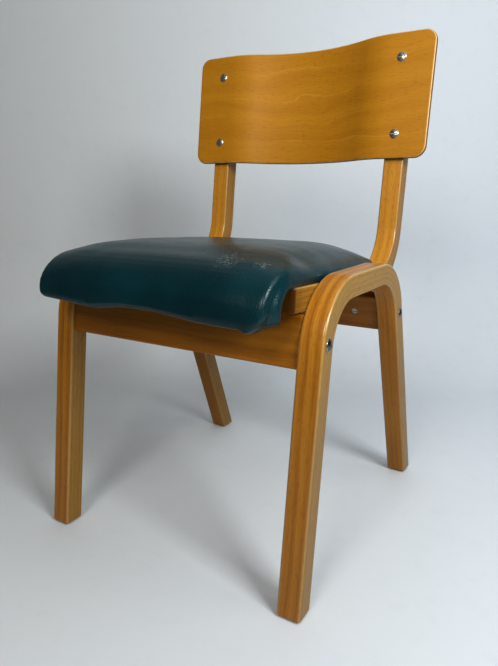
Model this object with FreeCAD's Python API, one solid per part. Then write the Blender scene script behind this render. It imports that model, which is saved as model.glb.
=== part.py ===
import FreeCAD, Part
import math
import os

# Stacking chair with bent-laminated beech leg frames, an upholstered seat and a
# moulded plywood backrest. Millimetres, +Z up. The chair faces -Y, and left is -X,
# as someone standing in front of it sees it. The origin is on the floor, at the
# centre of the chair's outline.

# ---- Driving dimensions -------------------------------------------------------

# Leg frames: one upside-down U a side, bent from thin beech leaves.
FRAME_WIDTH = 465.0            # across the outer faces of both leg frames
FRAME_HEIGHT = 440.0           # floor to the top of a leg frame
FOOT_SPAN = 515.0              # front of the front feet to back of the rear feet
LEG_WIDTH = 35.0               # a leg's size across the chair
LEG_DEPTH = 32.5               # a leg's size through its leaves
FRONT_LEG_LEAN = 7.1           # degrees, top towards the back
REAR_LEG_LEAN = 20.9           # degrees, top towards the front
FRONT_BEND_RADIUS = 98.0       # outside of the front bend
REAR_BEND_RADIUS = 115.0       # outside of the rear bend
LEG_ARRIS = 4.0                # rounding of a leg's long edges

# Back posts: one L a side, whose lower arm is the seat rail.
POST_WIDTH = 35.0
POST_DEPTH = 32.0
POST_BEND_RADIUS = 78.0        # inside of the bend
POST_LEAN = 7.2                # degrees back from upright
POST_ARRIS = 3.0
SEAT_SLOPE = 2.5               # degrees down towards the back
SEAT_RAIL_SETBACK = 36.7       # front foot's front to the seat rail's front end
SEAT_RAIL_DROP = 7.6           # leg frame's top to the seat rail's top, at its front end
SEAT_RAIL_LENGTH = 386.0       # front end to the post's front face, along the slope

# Cross rails between the leg frames.
RAIL_THICKNESS = 22.0
FRONT_RAIL_HEIGHT = 70.0
REAR_RAIL_HEIGHT = 65.0
FRONT_RAIL_GAP = 2.2           # rail's highest corner to the seat rail's underside
REAR_RAIL_GAP = 4.0
RAIL_ARRIS = 3.0

# Backrest: one moulded plywood panel, flat at the posts and hollow between them.
PANEL_WIDTH = 471.0
PANEL_HEIGHT = 206.5
PANEL_THICKNESS = 10.0
PANEL_RISE = 187.5             # seat rail's top line to the panel's lower edge, up the post
PANEL_HOLLOW = 30.0            # how far the middle stands behind the ends
PANEL_CORNER = 20.0
PANEL_ARRIS = 3.5
POST_TOP_INSET = 17.0          # panel's upper edge to the post's top end
FIXING_INSET = 40.5            # panel's upper and lower edges to its fixings

# Seat: moulded board, foam and a stretched cover.
SEAT_SIDE_GAP = 3.5            # cover's side to the leg frame
SEAT_BACK_GAP = 0.5            # seat's back edge to where the posts begin to bend
BOARD_THICKNESS = 9.0
BOARD_BEND_RADIUS = 27.0       # underside of the board's front bend
BOARD_LIP = 5.0                # straight drop below the board's bend
NOSE_FOAM_FRONT = 20.0         # foam in front of the board's lip
NOSE_FOAM_BELOW = 14.0         # foam under the board's lip
SEAT_EDGE_THICKNESS = 15.0     # underside to the top edge, at the sides and back
SEAT_CROWN = 26.0              # how far the middle stands above that edge
SHOULDER_SHARE = 0.8           # how much of the crown's rise is in its rounded border
BORDER_WIDTH = 42.0            # width of that border at the sides and back
NOSE_ROUND_DEPTH = 54.0        # width of that border over the nose
SEAT_CORNER = 22.0             # plan radius of the corners
COVER_THICKNESS = 1.2
COVER_FLAP = 42.0              # how far the cover turns in under the board

# Connector bolts, barrel nuts and dowels that join the rails to the leg frames.
BOLT_DIAMETER = 6.0
BOLT_HOLE = BOLT_DIAMETER + 1.0
CONNECTOR_HEAD = 18.0
CONNECTOR_HEAD_HEIGHT = 3.0
HEX_SOCKET = 4.0               # across flats
NUT_DIAMETER = 12.0
NUT_INSET = 41.0               # rail's end to the nut's axis
NUT_RECESS = 1.5               # nut's slotted end below the rail's inner face
NUT_FAR_WALL = 3.5             # wood left between the nut and the rail's show face
DOWEL_DIAMETER = 10.0
DOWEL_IN_LEG = 18.0
DOWEL_IN_RAIL = 30.0
DOWEL_EDGE = 14.0              # rail's upper and lower edges to the dowels' axes

# Screws through the seat rails into the leg frames.
SCREW_DIAMETER = 4.5
SCREW_HEAD = 9.0
SCREW_LENGTH = 52.0
SCREW_SHARES = (0.2, 0.5, 0.8)  # places along the leg frame's straight top

# Backrest fixings: slotted sleeve nuts in front, bolts and washers behind.
SLEEVE_HEAD = 16.0
SLEEVE_HEAD_HEIGHT = 2.4
SLEEVE_DIAMETER = 8.0
SLEEVE_LENGTH = 29.0
SLOT_WIDTH = 1.6
SLOT_DEPTH = 1.1
BACK_BOLT_THREAD = 14.0        # how far a bolt reaches into its sleeve nut
PAN_HEAD = 11.5
PAN_HEAD_HEIGHT = 4.2
WASHER_DIAMETER = 16.0
WASHER_THICKNESS = 1.4

# Seat fixings: bolts up through the seat rails into tee nuts in the board.
SEAT_BOLT_FRONT = 52.0         # seat rail's front end to the front bolts
SEAT_BOLT_BACK = 46.0          # seat's back edge to the rear bolts
TEE_FLANGE = 19.0
TEE_FLANGE_THICKNESS = 1.5
TEE_BARREL = 8.0

# Staples that hold the cover's flaps to the board.
STAPLE_CROWN = 10.0
STAPLE_WIRE = 0.9
STAPLE_LEG = 6.0
STAPLE_PITCH = 26.0
STAPLE_EDGE = 7.0              # flap's raw edge to the staples

# Nail-on glides under the feet.
GLIDE_DIAMETER = 24.0
GLIDE_THICKNESS = 2.5
GLIDE_RECESS = 1.2
NAIL_HEAD = 6.0
NAIL_DIAMETER = 2.2
NAIL_LENGTH = 16.0

# ---- Places worked out from the sizes -----------------------------------------

LEFT, RIGHT = -1, 1
TINY = 1e-6
LEG_OUTER_X = FRAME_WIDTH / 2
LEG_INNER_X = LEG_OUTER_X - LEG_WIDTH
POST_CENTRE_X = LEG_INNER_X - POST_WIDTH / 2
POST_INNER_X = LEG_INNER_X - POST_WIDTH
RAIL_LENGTH = 2 * LEG_INNER_X
SEAT_WIDTH = 2 * (LEG_INNER_X - SEAT_SIDE_GAP)
POST_BEND_RUN = POST_BEND_RADIUS * math.tan(math.radians(90 - POST_LEAN + SEAT_SLOPE) / 2)
SEAT_DEPTH = SEAT_RAIL_LENGTH - POST_BEND_RUN - SEAT_BACK_GAP
SEAT_OVERHANG = BOARD_BEND_RADIUS + BOARD_THICKNESS + NOSE_FOAM_FRONT + COVER_THICKNESS
LIP_HEIGHT = COVER_THICKNESS - BOARD_BEND_RADIUS - BOARD_LIP
NOSE_DROP = NOSE_FOAM_BELOW + COVER_THICKNESS - LIP_HEIGHT
RUN_OUT = 5.0                  # how far the crown's border runs on past the seat's edge
CROWN_CLEAR = 1.5              # crown from side to side over the crown from front to back
EDGE_RUN_Z = 0.6 * (SEAT_EDGE_THICKNESS - COVER_THICKNESS)
QUARTER = math.sqrt(0.5)
AXIS_X = FreeCAD.Vector(1, 0, 0)
AXIS_Y = FreeCAD.Vector(0, 1, 0)
AXIS_Z = FreeCAD.Vector(0, 0, 1)


def side_point(y, z):
    """A point of a side profile, in the plane x = 0."""
    return FreeCAD.Vector(0, y, z)


def lean_back(degrees):
    """The upward direction that leans towards the back by an angle."""
    return side_point(math.sin(math.radians(degrees)), math.cos(math.radians(degrees)))


def slope_down(degrees):
    """The backward direction that falls by an angle."""
    return side_point(math.cos(math.radians(degrees)), -math.sin(math.radians(degrees)))


FRONT_LEG_UP = lean_back(FRONT_LEG_LEAN)
REAR_LEG_UP = lean_back(-REAR_LEG_LEAN)
POST_UP = lean_back(POST_LEAN)
POST_BACK = slope_down(POST_LEAN)
SEAT_BACK = slope_down(SEAT_SLOPE)
SEAT_UP = lean_back(SEAT_SLOPE)
SEAT_ORIGIN = side_point(SEAT_RAIL_SETBACK, FRAME_HEIGHT - SEAT_RAIL_DROP)
POST_ROOT = SEAT_ORIGIN + SEAT_BACK * SEAT_RAIL_LENGTH
PANEL_TOP_RISE = PANEL_RISE + PANEL_HEIGHT
FIXING_RISES = (PANEL_RISE + FIXING_INSET, PANEL_TOP_RISE - FIXING_INSET)
SEAT_PLACEMENT = FreeCAD.Placement(SEAT_ORIGIN, FreeCAD.Rotation(AXIS_X, -SEAT_SLOPE))


# ---- Drawing helpers ----------------------------------------------------------

def meet(point_a, along_a, point_b, along_b):
    """Where two lines of the side view cross."""
    across = side_point(-along_b.z, along_b.y)
    return point_a + along_a * ((point_b - point_a).dot(across) / along_a.dot(across))


def rounded_path(points, radii):
    """Edges of a path through points, its inner corners rounded by arcs."""
    edges = []
    start = points[0]
    for before, corner, after, radius in zip(points, points[1:], points[2:], radii):
        to_before = (before - corner).normalize()
        to_after = (after - corner).normalize()
        half_angle = to_before.getAngle(to_after) / 2
        inward = (to_before + to_after).normalize()
        arc_start = corner + to_before * (radius / math.tan(half_angle))
        arc_end = corner + to_after * (radius / math.tan(half_angle))
        arc_middle = corner + inward * (radius / math.sin(half_angle) - radius)
        edges.append(Part.LineSegment(start, arc_start).toShape())
        edges.append(Part.Arc(arc_start, arc_middle, arc_end).toShape())
        start = arc_end
    edges.append(Part.LineSegment(start, points[-1]).toShape())
    return edges


def bent_bar(first_path, first_radii, second_path, second_radii, x_start, x_end):
    """A bar whose side view lies between two rounded paths."""
    edges = rounded_path(first_path, first_radii)
    edges.append(Part.LineSegment(first_path[-1], second_path[-1]).toShape())
    edges.extend(rounded_path(second_path, second_radii))
    edges.append(Part.LineSegment(second_path[0], first_path[0]).toShape())
    face = Part.Face(Part.Wire(Part.__sortEdges__(edges)))
    face.translate(AXIS_X * x_start)
    return face.extrude(AXIS_X * (x_end - x_start))


def round_long_edges(bar, end_lines, radius):
    """Round the edges of a bent bar's two side faces, but not those at its ends."""
    long_edges = []
    for edge in bar.Edges:
        in_side_face = edge.BoundBox.XLength < TINY
        if in_side_face and not closes_bar(edge, end_lines):
            long_edges.append(edge)
    return bar.makeFillet(radius, long_edges)


def closes_bar(edge, end_lines):
    """Whether an edge of a bar lies on one of the lines that close its side view."""
    middle = edge.valueAt((edge.FirstParameter + edge.LastParameter) / 2)
    in_side_view = Part.Vertex(side_point(middle.y, middle.z))
    return any(in_side_view.distToShape(line)[0] < TINY for line in end_lines)


def end_line(point_a, point_b):
    """The line that closes a bent bar's side view at one end."""
    return Part.LineSegment(point_a, point_b).toShape()


def put(shape, origin, axis):
    """A copy of a shape drawn along +Z, moved to origin and turned along axis."""
    placed = shape.copy()
    placed.Placement = FreeCAD.Placement(origin, FreeCAD.Rotation(AXIS_Z, axis))
    return placed


def rod(diameter, length, origin, axis):
    """A round rod or drill from origin along axis."""
    return put(Part.makeCylinder(diameter / 2, length), origin, axis)


def turned(profile):
    """A solid turned about Z from the (radius, height) corners of its outline."""
    corners = [FreeCAD.Vector(radius, 0, height) for radius, height in profile]
    outline = Part.makePolygon(corners + corners[:1])
    return Part.Face(outline).revolve(FreeCAD.Vector(), AXIS_Z, 360)


def domed_head(diameter, height, rim):
    """A round head above z = 0, with an upright rim and a domed top."""
    radius = diameter / 2
    dome = height - rim
    ball_radius = (radius ** 2 + dome ** 2) / (2 * dome)
    ball = Part.makeSphere(ball_radius, FreeCAD.Vector(0, 0, height - ball_radius))
    return Part.makeCylinder(radius, height).common(ball)


def hexagon(across_flats, depth, top):
    """A hexagonal prism below the height top, to cut a key socket."""
    corner_radius = across_flats / math.sqrt(3)
    corners = []
    for step in range(7):
        turn = math.radians(60 * step)
        corners.append(FreeCAD.Vector(corner_radius * math.cos(turn), corner_radius * math.sin(turn), top))
    return Part.Face(Part.makePolygon(corners)).extrude(AXIS_Z * -depth)


def group(solids):
    """Separate solids that share one node."""
    return Part.makeCompound(list(solids))


def drilled(shape, drills):
    """A shape with holes cut by a list of drills."""
    return shape.cut(group(drills))


def mirrored(shape):
    """The same shape for the other side of the chair."""
    return shape.mirror(FreeCAD.Vector(), AXIS_X)


# ---- Rail joints --------------------------------------------------------------

def rail_placement(leg_point, leg_up, tilt, height, gap):
    """Centre and tilt of a cross rail that hangs in its legs, just below the seat rails.

    leg_point is on the leg's centre line and leg_up runs along it. The rail's
    highest corner stops short of the seat rails' underside by gap.
    """
    across = side_point(leg_up.z, -leg_up.y)
    top_corners = [leg_up * (height / 2) + across * (sign * RAIL_THICKNESS / 2) for sign in (-1, 1)]
    reach = max(corner.dot(SEAT_UP) for corner in top_corners)
    underside = SEAT_ORIGIN - SEAT_UP * (POST_DEPTH + gap)
    travel = ((underside - leg_point).dot(SEAT_UP) - reach) / leg_up.dot(SEAT_UP)
    return FreeCAD.Placement(leg_point + leg_up * travel, FreeCAD.Rotation(AXIS_X, tilt))


def leg_centre_on_floor(leg_foot, leg_up, inward):
    """Where a leg's centre line meets the floor."""
    return leg_foot + AXIS_Y * (inward * LEG_DEPTH / 2 / leg_up.z)


FRONT_FOOT = side_point(0, 0)
REAR_FOOT = side_point(FOOT_SPAN, 0)
FRONT_RAIL_PLACE = rail_placement(
    leg_centre_on_floor(FRONT_FOOT, FRONT_LEG_UP, 1),
    FRONT_LEG_UP, -FRONT_LEG_LEAN, FRONT_RAIL_HEIGHT, FRONT_RAIL_GAP)
REAR_RAIL_PLACE = rail_placement(
    leg_centre_on_floor(REAR_FOOT, REAR_LEG_UP, -1),
    REAR_LEG_UP, REAR_LEG_LEAN, REAR_RAIL_HEIGHT, REAR_RAIL_GAP)


def placed_in(placement, shape):
    """A shape drawn in a rail's own frame, moved to the rail's place."""
    moved = shape.copy()
    moved.Placement = placement.multiply(moved.Placement)
    return moved


def dowel_heights(height):
    """Heights of a rail's two dowels in the rail's own frame."""
    offset = height / 2 - DOWEL_EDGE
    return (-offset, offset)


def leg_drills(placement, height):
    """Holes that the right leg frame needs for one rail, in the chair's frame."""
    bolt_hole = rod(BOLT_HOLE, 2 * LEG_WIDTH,
                    FreeCAD.Vector(LEG_INNER_X - LEG_WIDTH / 2, 0, 0), AXIS_X)
    drills = [bolt_hole]
    for z in dowel_heights(height):
        start = FreeCAD.Vector(LEG_INNER_X - 1, 0, z)
        drills.append(rod(DOWEL_DIAMETER, DOWEL_IN_LEG + 2, start, AXIS_X))
    return [placed_in(placement, drill) for drill in drills]


def rail(height, inner_side):
    """A cross rail in its own frame; its nuts go in from the inner side, +1 or -1."""
    blank = Part.makeBox(RAIL_LENGTH, RAIL_THICKNESS, height,
                         FreeCAD.Vector(-RAIL_LENGTH / 2, -RAIL_THICKNESS / 2, -height / 2))
    long_edges = [edge for edge in blank.Edges if edge.BoundBox.XLength > RAIL_LENGTH / 2]
    blank = blank.makeFillet(RAIL_ARRIS, long_edges)
    drills = []
    for side in (LEFT, RIGHT):
        inward = AXIS_X * -side
        end = FreeCAD.Vector(side * (RAIL_LENGTH / 2 + 1), 0, 0)
        drills.append(rod(BOLT_HOLE, NUT_INSET + NUT_DIAMETER, end, inward))
        nut_x = side * (RAIL_LENGTH / 2 - NUT_INSET)
        mouth = FreeCAD.Vector(nut_x, inner_side * (RAIL_THICKNESS / 2 + 1), 0)
        drills.append(rod(NUT_DIAMETER, RAIL_THICKNESS + 1 - NUT_FAR_WALL, mouth, AXIS_Y * -inner_side))
        for z in dowel_heights(height):
            drills.append(rod(DOWEL_DIAMETER, DOWEL_IN_RAIL + 2, end + AXIS_Z * z, inward))
    return drilled(blank, drills)


def connector_bolt():
    """A connector bolt along +Z with its domed head below z = 0."""
    head = put(domed_head(CONNECTOR_HEAD, CONNECTOR_HEAD_HEIGHT, 0.8), FreeCAD.Vector(), -AXIS_Z)
    shank = Part.makeCylinder(BOLT_DIAMETER / 2, LEG_WIDTH + NUT_INSET + NUT_DIAMETER / 2)
    socket = hexagon(HEX_SOCKET, -CONNECTOR_HEAD_HEIGHT, -CONNECTOR_HEAD_HEIGHT - 0.5)
    return head.fuse(shank).removeSplitter().cut(socket)


def rail_bolts():
    """Both connector bolts of a rail, in the rail's frame."""
    bolts = []
    for side in (LEFT, RIGHT):
        bolts.append(put(connector_bolt(), AXIS_X * (side * LEG_OUTER_X), AXIS_X * -side))
    return group(bolts)


def barrel_nuts(inner_side):
    """Both barrel nuts of a rail, in the rail's frame, their slots on the inner side."""
    nuts = []
    length = RAIL_THICKNESS - NUT_RECESS - NUT_FAR_WALL
    for side in (LEFT, RIGHT):
        x = side * (RAIL_LENGTH / 2 - NUT_INSET)
        mouth = FreeCAD.Vector(x, inner_side * (RAIL_THICKNESS / 2 - NUT_RECESS), 0)
        body = rod(NUT_DIAMETER, length, mouth, AXIS_Y * -inner_side)
        thread = rod(BOLT_DIAMETER, 2 * NUT_DIAMETER, FreeCAD.Vector(x - NUT_DIAMETER, 0, 0), AXIS_X)
        slot = Part.makeBox(NUT_DIAMETER, 2 * SLOT_DEPTH, SLOT_WIDTH,
                            mouth - FreeCAD.Vector(NUT_DIAMETER / 2, SLOT_DEPTH, SLOT_WIDTH / 2))
        nuts.append(body.cut(thread).cut(slot))
    return group(nuts)


def rail_dowels(height):
    """All four dowels of a rail, in the rail's frame, a millimetre short of each hole's end."""
    dowels = []
    for side in (LEFT, RIGHT):
        for z in dowel_heights(height):
            start = FreeCAD.Vector(side * (LEG_INNER_X + DOWEL_IN_LEG), 0, z)
            dowels.append(rod(DOWEL_DIAMETER, DOWEL_IN_LEG + DOWEL_IN_RAIL, start, AXIS_X * -side))
    return group(dowels)


# ---- Leg frames and glides ----------------------------------------------------

def leg_paths():
    """Outer and inner paths of a leg frame's side view, from front foot to rear foot."""
    foot = side_point(0, GLIDE_THICKNESS)
    top = side_point(0, FRAME_HEIGHT)
    front_corner = meet(FRONT_FOOT, FRONT_LEG_UP, top, AXIS_Y)
    rear_corner = meet(REAR_FOOT, REAR_LEG_UP, top, AXIS_Y)
    outer = [meet(FRONT_FOOT, FRONT_LEG_UP, foot, AXIS_Y), front_corner, rear_corner,
             meet(REAR_FOOT, REAR_LEG_UP, foot, AXIS_Y)]
    front_inner = FRONT_FOOT + AXIS_Y * (LEG_DEPTH / FRONT_LEG_UP.z)
    rear_inner = REAR_FOOT - AXIS_Y * (LEG_DEPTH / REAR_LEG_UP.z)
    inner_top = side_point(0, FRAME_HEIGHT - LEG_DEPTH)
    inner = [meet(front_inner, FRONT_LEG_UP, foot, AXIS_Y),
             meet(front_inner, FRONT_LEG_UP, inner_top, AXIS_Y),
             meet(rear_inner, REAR_LEG_UP, inner_top, AXIS_Y),
             meet(rear_inner, REAR_LEG_UP, foot, AXIS_Y)]
    return outer, inner


def leg_frame():
    """The right leg frame, drilled for its rails, seat-rail screws and glide nails."""
    outer, inner = leg_paths()
    outer_radii = (FRONT_BEND_RADIUS, REAR_BEND_RADIUS)
    inner_radii = [radius - LEG_DEPTH for radius in outer_radii]
    bar = bent_bar(outer, outer_radii, inner, inner_radii, LEG_INNER_X, LEG_OUTER_X)
    ends = [end_line(outer[0], inner[0]), end_line(outer[-1], inner[-1])]
    bar = round_long_edges(bar, ends, LEG_ARRIS)
    drills = leg_drills(FRONT_RAIL_PLACE, FRONT_RAIL_HEIGHT)
    drills += leg_drills(REAR_RAIL_PLACE, REAR_RAIL_HEIGHT)
    drills += [rod(SCREW_DIAMETER, SCREW_LENGTH, point, AXIS_X) for point in screw_points()]
    for foot in right_foot_points():
        drills.append(rod(NAIL_DIAMETER, NAIL_LENGTH + 1, foot, AXIS_Z))
    return drilled(bar, drills)


def right_foot_points():
    """Centres of the right leg frame's two feet, on the floor."""
    points = []
    for foot, leg_up, inward in ((FRONT_FOOT, FRONT_LEG_UP, 1), (REAR_FOOT, REAR_LEG_UP, -1)):
        centre = leg_centre_on_floor(foot, leg_up, inward)
        centre += AXIS_Y * (leg_up.y / leg_up.z * GLIDE_THICKNESS)
        points.append(centre + AXIS_X * (LEG_OUTER_X - LEG_WIDTH / 2))
    return points


def screw_points():
    """Points on the right seat rail's inner face where its screws go in."""
    outer, inner = leg_paths()
    points = []
    for share in SCREW_SHARES:
        y = inner[1].y + share * (inner[2].y - inner[1].y)
        rail_top = meet(SEAT_ORIGIN, SEAT_BACK, side_point(y, 0), AXIS_Z)
        z = (inner[1].z + rail_top.z) / 2
        points.append(FreeCAD.Vector(POST_INNER_X, y, z))
    return points


def glide():
    """A round glide above z = 0, recessed below for its nail's head."""
    disc = Part.makeCylinder(GLIDE_DIAMETER / 2, GLIDE_THICKNESS)
    lower_edge = [edge for edge in disc.Edges if edge.BoundBox.ZMax < 1e-6]
    disc = disc.makeFillet(0.8, lower_edge)
    return drilled(disc, [Part.makeCylinder(NAIL_HEAD / 2, GLIDE_RECESS),
                          Part.makeCylinder(NAIL_DIAMETER / 2, GLIDE_THICKNESS)])


def glide_nail():
    """A glide's nail: its head in the glide's recess, its point up in the foot."""
    head_bottom = GLIDE_RECESS / 2
    return turned([(0, head_bottom), (NAIL_HEAD / 2, head_bottom), (NAIL_HEAD / 2, GLIDE_RECESS),
                   (NAIL_DIAMETER / 2, GLIDE_RECESS), (NAIL_DIAMETER / 2, NAIL_LENGTH - NAIL_DIAMETER),
                   (0, NAIL_LENGTH)])


# ---- Back posts ---------------------------------------------------------------

def back_post():
    """The right back post and seat rail, one bent piece, drilled for its fixings."""
    top_rise = PANEL_TOP_RISE - POST_TOP_INSET
    front = [SEAT_ORIGIN, POST_ROOT, POST_ROOT + POST_UP * top_rise]
    under = SEAT_UP * -POST_DEPTH
    behind = POST_BACK * POST_DEPTH
    back = [SEAT_ORIGIN + under, meet(SEAT_ORIGIN + under, SEAT_BACK, POST_ROOT + behind, POST_UP),
            front[-1] + behind]
    bar = bent_bar(front, [POST_BEND_RADIUS], back, [POST_BEND_RADIUS + POST_DEPTH],
                   POST_INNER_X, LEG_INNER_X)
    ends = [end_line(front[0], back[0]), end_line(front[-1], back[-1])]
    bar = round_long_edges(bar, ends, POST_ARRIS)
    drills = []
    for point in screw_points():
        drills.append(put(post_screw(), point, AXIS_X))
    for point in right_fixing_points():
        drills.append(rod(SLEEVE_DIAMETER, SLEEVE_LENGTH + 1, point, POST_BACK))
        drills.append(rod(BOLT_HOLE, PANEL_THICKNESS + POST_DEPTH + 1, point, POST_BACK))
    for x, y in seat_bolt_places([RIGHT]):
        hole = rod(BOLT_HOLE, 2 * POST_DEPTH, FreeCAD.Vector(x, y, POST_DEPTH / 2), -AXIS_Z)
        drills.append(placed_in(SEAT_PLACEMENT, hole))
    return drilled(bar, drills)


def post_screw():
    """A countersunk screw along +Z, its flat head flush with z = 0."""
    taper = (SCREW_HEAD - SCREW_DIAMETER) / 2
    screw = turned([(0, 0), (SCREW_HEAD / 2, 0), (SCREW_DIAMETER / 2, taper),
                    (SCREW_DIAMETER / 2, SCREW_LENGTH - SCREW_DIAMETER), (0, SCREW_LENGTH)])
    return screw


def post_screws(side):
    """The screws that hold one seat rail to its leg frame."""
    screws = []
    recess = SCREW_DIAMETER / 2
    for point in screw_points():
        blade = Part.makeBox(SCREW_DIAMETER, 1.0, recess, FreeCAD.Vector(-SCREW_DIAMETER / 2, -0.5, 0))
        cross_blade = Part.makeBox(1.0, SCREW_DIAMETER, recess, FreeCAD.Vector(-0.5, -SCREW_DIAMETER / 2, 0))
        screws.append(put(post_screw().cut(blade).cut(cross_blade), point, AXIS_X))
    return group(screws) if side == RIGHT else group(mirrored(screw) for screw in screws)


# ---- Backrest -----------------------------------------------------------------

def panel_point(x, depth, rise):
    """A point given across, behind the panel's front face at its ends, and up the post."""
    front = POST_ROOT - POST_BACK * PANEL_THICKNESS
    return front + AXIS_X * x + POST_BACK * depth + POST_UP * rise


def right_fixing_points():
    """Where the right post's two fixings go in, on the panel's front face."""
    return [panel_point(POST_CENTRE_X, 0, rise) for rise in FIXING_RISES]


def panel_front_path(depth_shift):
    """Edges across the panel's face: flat ends, and a hollow of three tangent arcs.

    The hollow ends just inside the posts. depth_shift moves the path back through
    the panel, and the arcs' radii change with it, so the panel keeps its thickness.
    """
    half_span = POST_INNER_X - 1.5
    turn = 2 * math.atan(PANEL_HOLLOW / half_span)
    radii_sum = half_span / math.sin(turn)
    middle_radius = radii_sum * 2 / 3 + depth_shift
    end_radius = radii_sum / 3 - depth_shift
    bottom = PANEL_HOLLOW + depth_shift
    join = (middle_radius * math.sin(turn), bottom - middle_radius * (1 - math.cos(turn)))
    half_end = (half_span - end_radius * math.sin(turn / 2),
                depth_shift + end_radius * (1 - math.cos(turn / 2)))

    def at(point, side=RIGHT):
        return panel_point(side * point[0], point[1], 0)

    flat_start = (half_span, depth_shift)
    flat_end = (PANEL_WIDTH / 2, depth_shift)
    edges = [Part.Arc(at(join, LEFT), at((0, bottom)), at(join)).toShape()]
    for side in (LEFT, RIGHT):
        edges.append(Part.Arc(at(join, side), at(half_end, side), at(flat_start, side)).toShape())
        edges.append(Part.LineSegment(at(flat_start, side), at(flat_end, side)).toShape())
    return edges


def backrest_panel():
    """The moulded panel, its corners rounded in front view, its edges eased."""
    edges = panel_front_path(0) + panel_front_path(PANEL_THICKNESS)
    for side in (LEFT, RIGHT):
        x = side * PANEL_WIDTH / 2
        edges.append(Part.LineSegment(panel_point(x, 0, 0), panel_point(x, PANEL_THICKNESS, 0)).toShape())
    face = Part.Face(Part.Wire(Part.__sortEdges__(edges)))
    face.translate(POST_UP * PANEL_RISE)
    panel = face.extrude(POST_UP * PANEL_HEIGHT)
    corner_edges = []
    for edge in panel.Edges:
        at_side = abs(abs(edge.CenterOfMass.x) - PANEL_WIDTH / 2) < TINY
        if at_side and abs(edge.Length - PANEL_THICKNESS) < TINY:
            corner_edges.append(edge)
    panel = panel.makeFillet(PANEL_CORNER, corner_edges)
    rim_edges = []
    for edge in panel.Edges:
        if not is_panel_seam(edge):
            rim_edges.append(edge)
    panel = panel.makeFillet(PANEL_ARRIS, rim_edges)
    drills = []
    for point in right_fixing_points():
        hole = rod(SLEEVE_DIAMETER, PANEL_THICKNESS + 2, point - POST_BACK, POST_BACK)
        drills += [hole, mirrored(hole)]
    return drilled(panel, drills)


def is_panel_seam(edge):
    """Whether a straight edge only joins smooth faces: through the rim, or up a face."""
    if edge.Curve.TypeId != "Part::GeomLine":
        return False
    through_rim = abs(edge.Length - PANEL_THICKNESS) < TINY
    up_face = edge.BoundBox.XLength < TINY and abs(abs(edge.CenterOfMass.x) - PANEL_WIDTH / 2) > TINY
    return through_rim or up_face


def sleeve_nut():
    """A sleeve nut along +Z, its slotted domed head below z = 0."""
    head = put(domed_head(SLEEVE_HEAD, SLEEVE_HEAD_HEIGHT, 0.6), FreeCAD.Vector(), -AXIS_Z)
    barrel = Part.makeCylinder(SLEEVE_DIAMETER / 2, SLEEVE_LENGTH)
    slot = Part.makeBox(SLEEVE_HEAD, SLOT_WIDTH, SLOT_DEPTH,
                        FreeCAD.Vector(-SLEEVE_HEAD / 2, -SLOT_WIDTH / 2, -SLEEVE_HEAD_HEIGHT))
    thread_start = SLEEVE_LENGTH - BACK_BOLT_THREAD - 4
    thread = Part.makeCylinder(BOLT_DIAMETER / 2, SLEEVE_LENGTH, FreeCAD.Vector(0, 0, thread_start))
    return head.fuse(barrel).removeSplitter().cut(slot).cut(thread)


def washer():
    """A flat washer above z = 0."""
    disc = Part.makeCylinder(WASHER_DIAMETER / 2, WASHER_THICKNESS)
    return disc.cut(Part.makeCylinder(BOLT_HOLE / 2, WASHER_THICKNESS))


def pan_bolt(shank_length):
    """A bolt along +Z with its domed head below z = 0, and a hexagonal socket."""
    head = put(domed_head(PAN_HEAD, PAN_HEAD_HEIGHT, 1.6), FreeCAD.Vector(), -AXIS_Z)
    shank = Part.makeCylinder(BOLT_DIAMETER / 2, shank_length)
    socket = hexagon(HEX_SOCKET, -PAN_HEAD_HEIGHT / 2, -PAN_HEAD_HEIGHT - 0.1)
    return head.fuse(shank).removeSplitter().cut(socket)


def backrest_fixings():
    """Sleeve nuts, washers and bolts of the backrest, each kind as one group."""
    nuts, washers, bolts = [], [], []
    through = PANEL_THICKNESS + POST_DEPTH
    shank = WASHER_THICKNESS + through - SLEEVE_LENGTH + BACK_BOLT_THREAD
    for point in right_fixing_points():
        rear = point + POST_BACK * through
        nuts.append(put(sleeve_nut(), point, POST_BACK))
        washers.append(put(washer(), rear, POST_BACK))
        bolts.append(put(pan_bolt(shank), rear + POST_BACK * WASHER_THICKNESS, -POST_BACK))
    return [group(kind + [mirrored(piece) for piece in kind]) for kind in (nuts, washers, bolts)]


# ---- Seat ---------------------------------------------------------------------
# The seat is drawn in its own frame: y runs back along the seat rails from their
# front end, and z is the height over them. Its cover's flaps lie on the rails.

def seat_plan(grow):
    """The seat's outline in plan, as a tall prism, grown outwards by an amount."""
    half_width = SEAT_WIDTH / 2 - COVER_THICKNESS + grow
    front = -SEAT_OVERHANG + COVER_THICKNESS - grow
    back = SEAT_DEPTH - COVER_THICKNESS + grow
    height = 2 * (NOSE_DROP + SEAT_EDGE_THICKNESS + SEAT_CROWN)
    block = Part.makeBox(2 * half_width, back - front, height,
                         FreeCAD.Vector(-half_width, front, -height / 2))
    upright = [edge for edge in block.Edges if edge.BoundBox.ZLength > height / 2]
    return block.makeFillet(SEAT_CORNER + grow, upright)


def seat_across(face):
    """A profile of the seat's side view, run across the whole seat."""
    face.translate(AXIS_X * -SEAT_WIDTH)
    return face.extrude(AXIS_X * (2 * SEAT_WIDTH))


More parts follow.
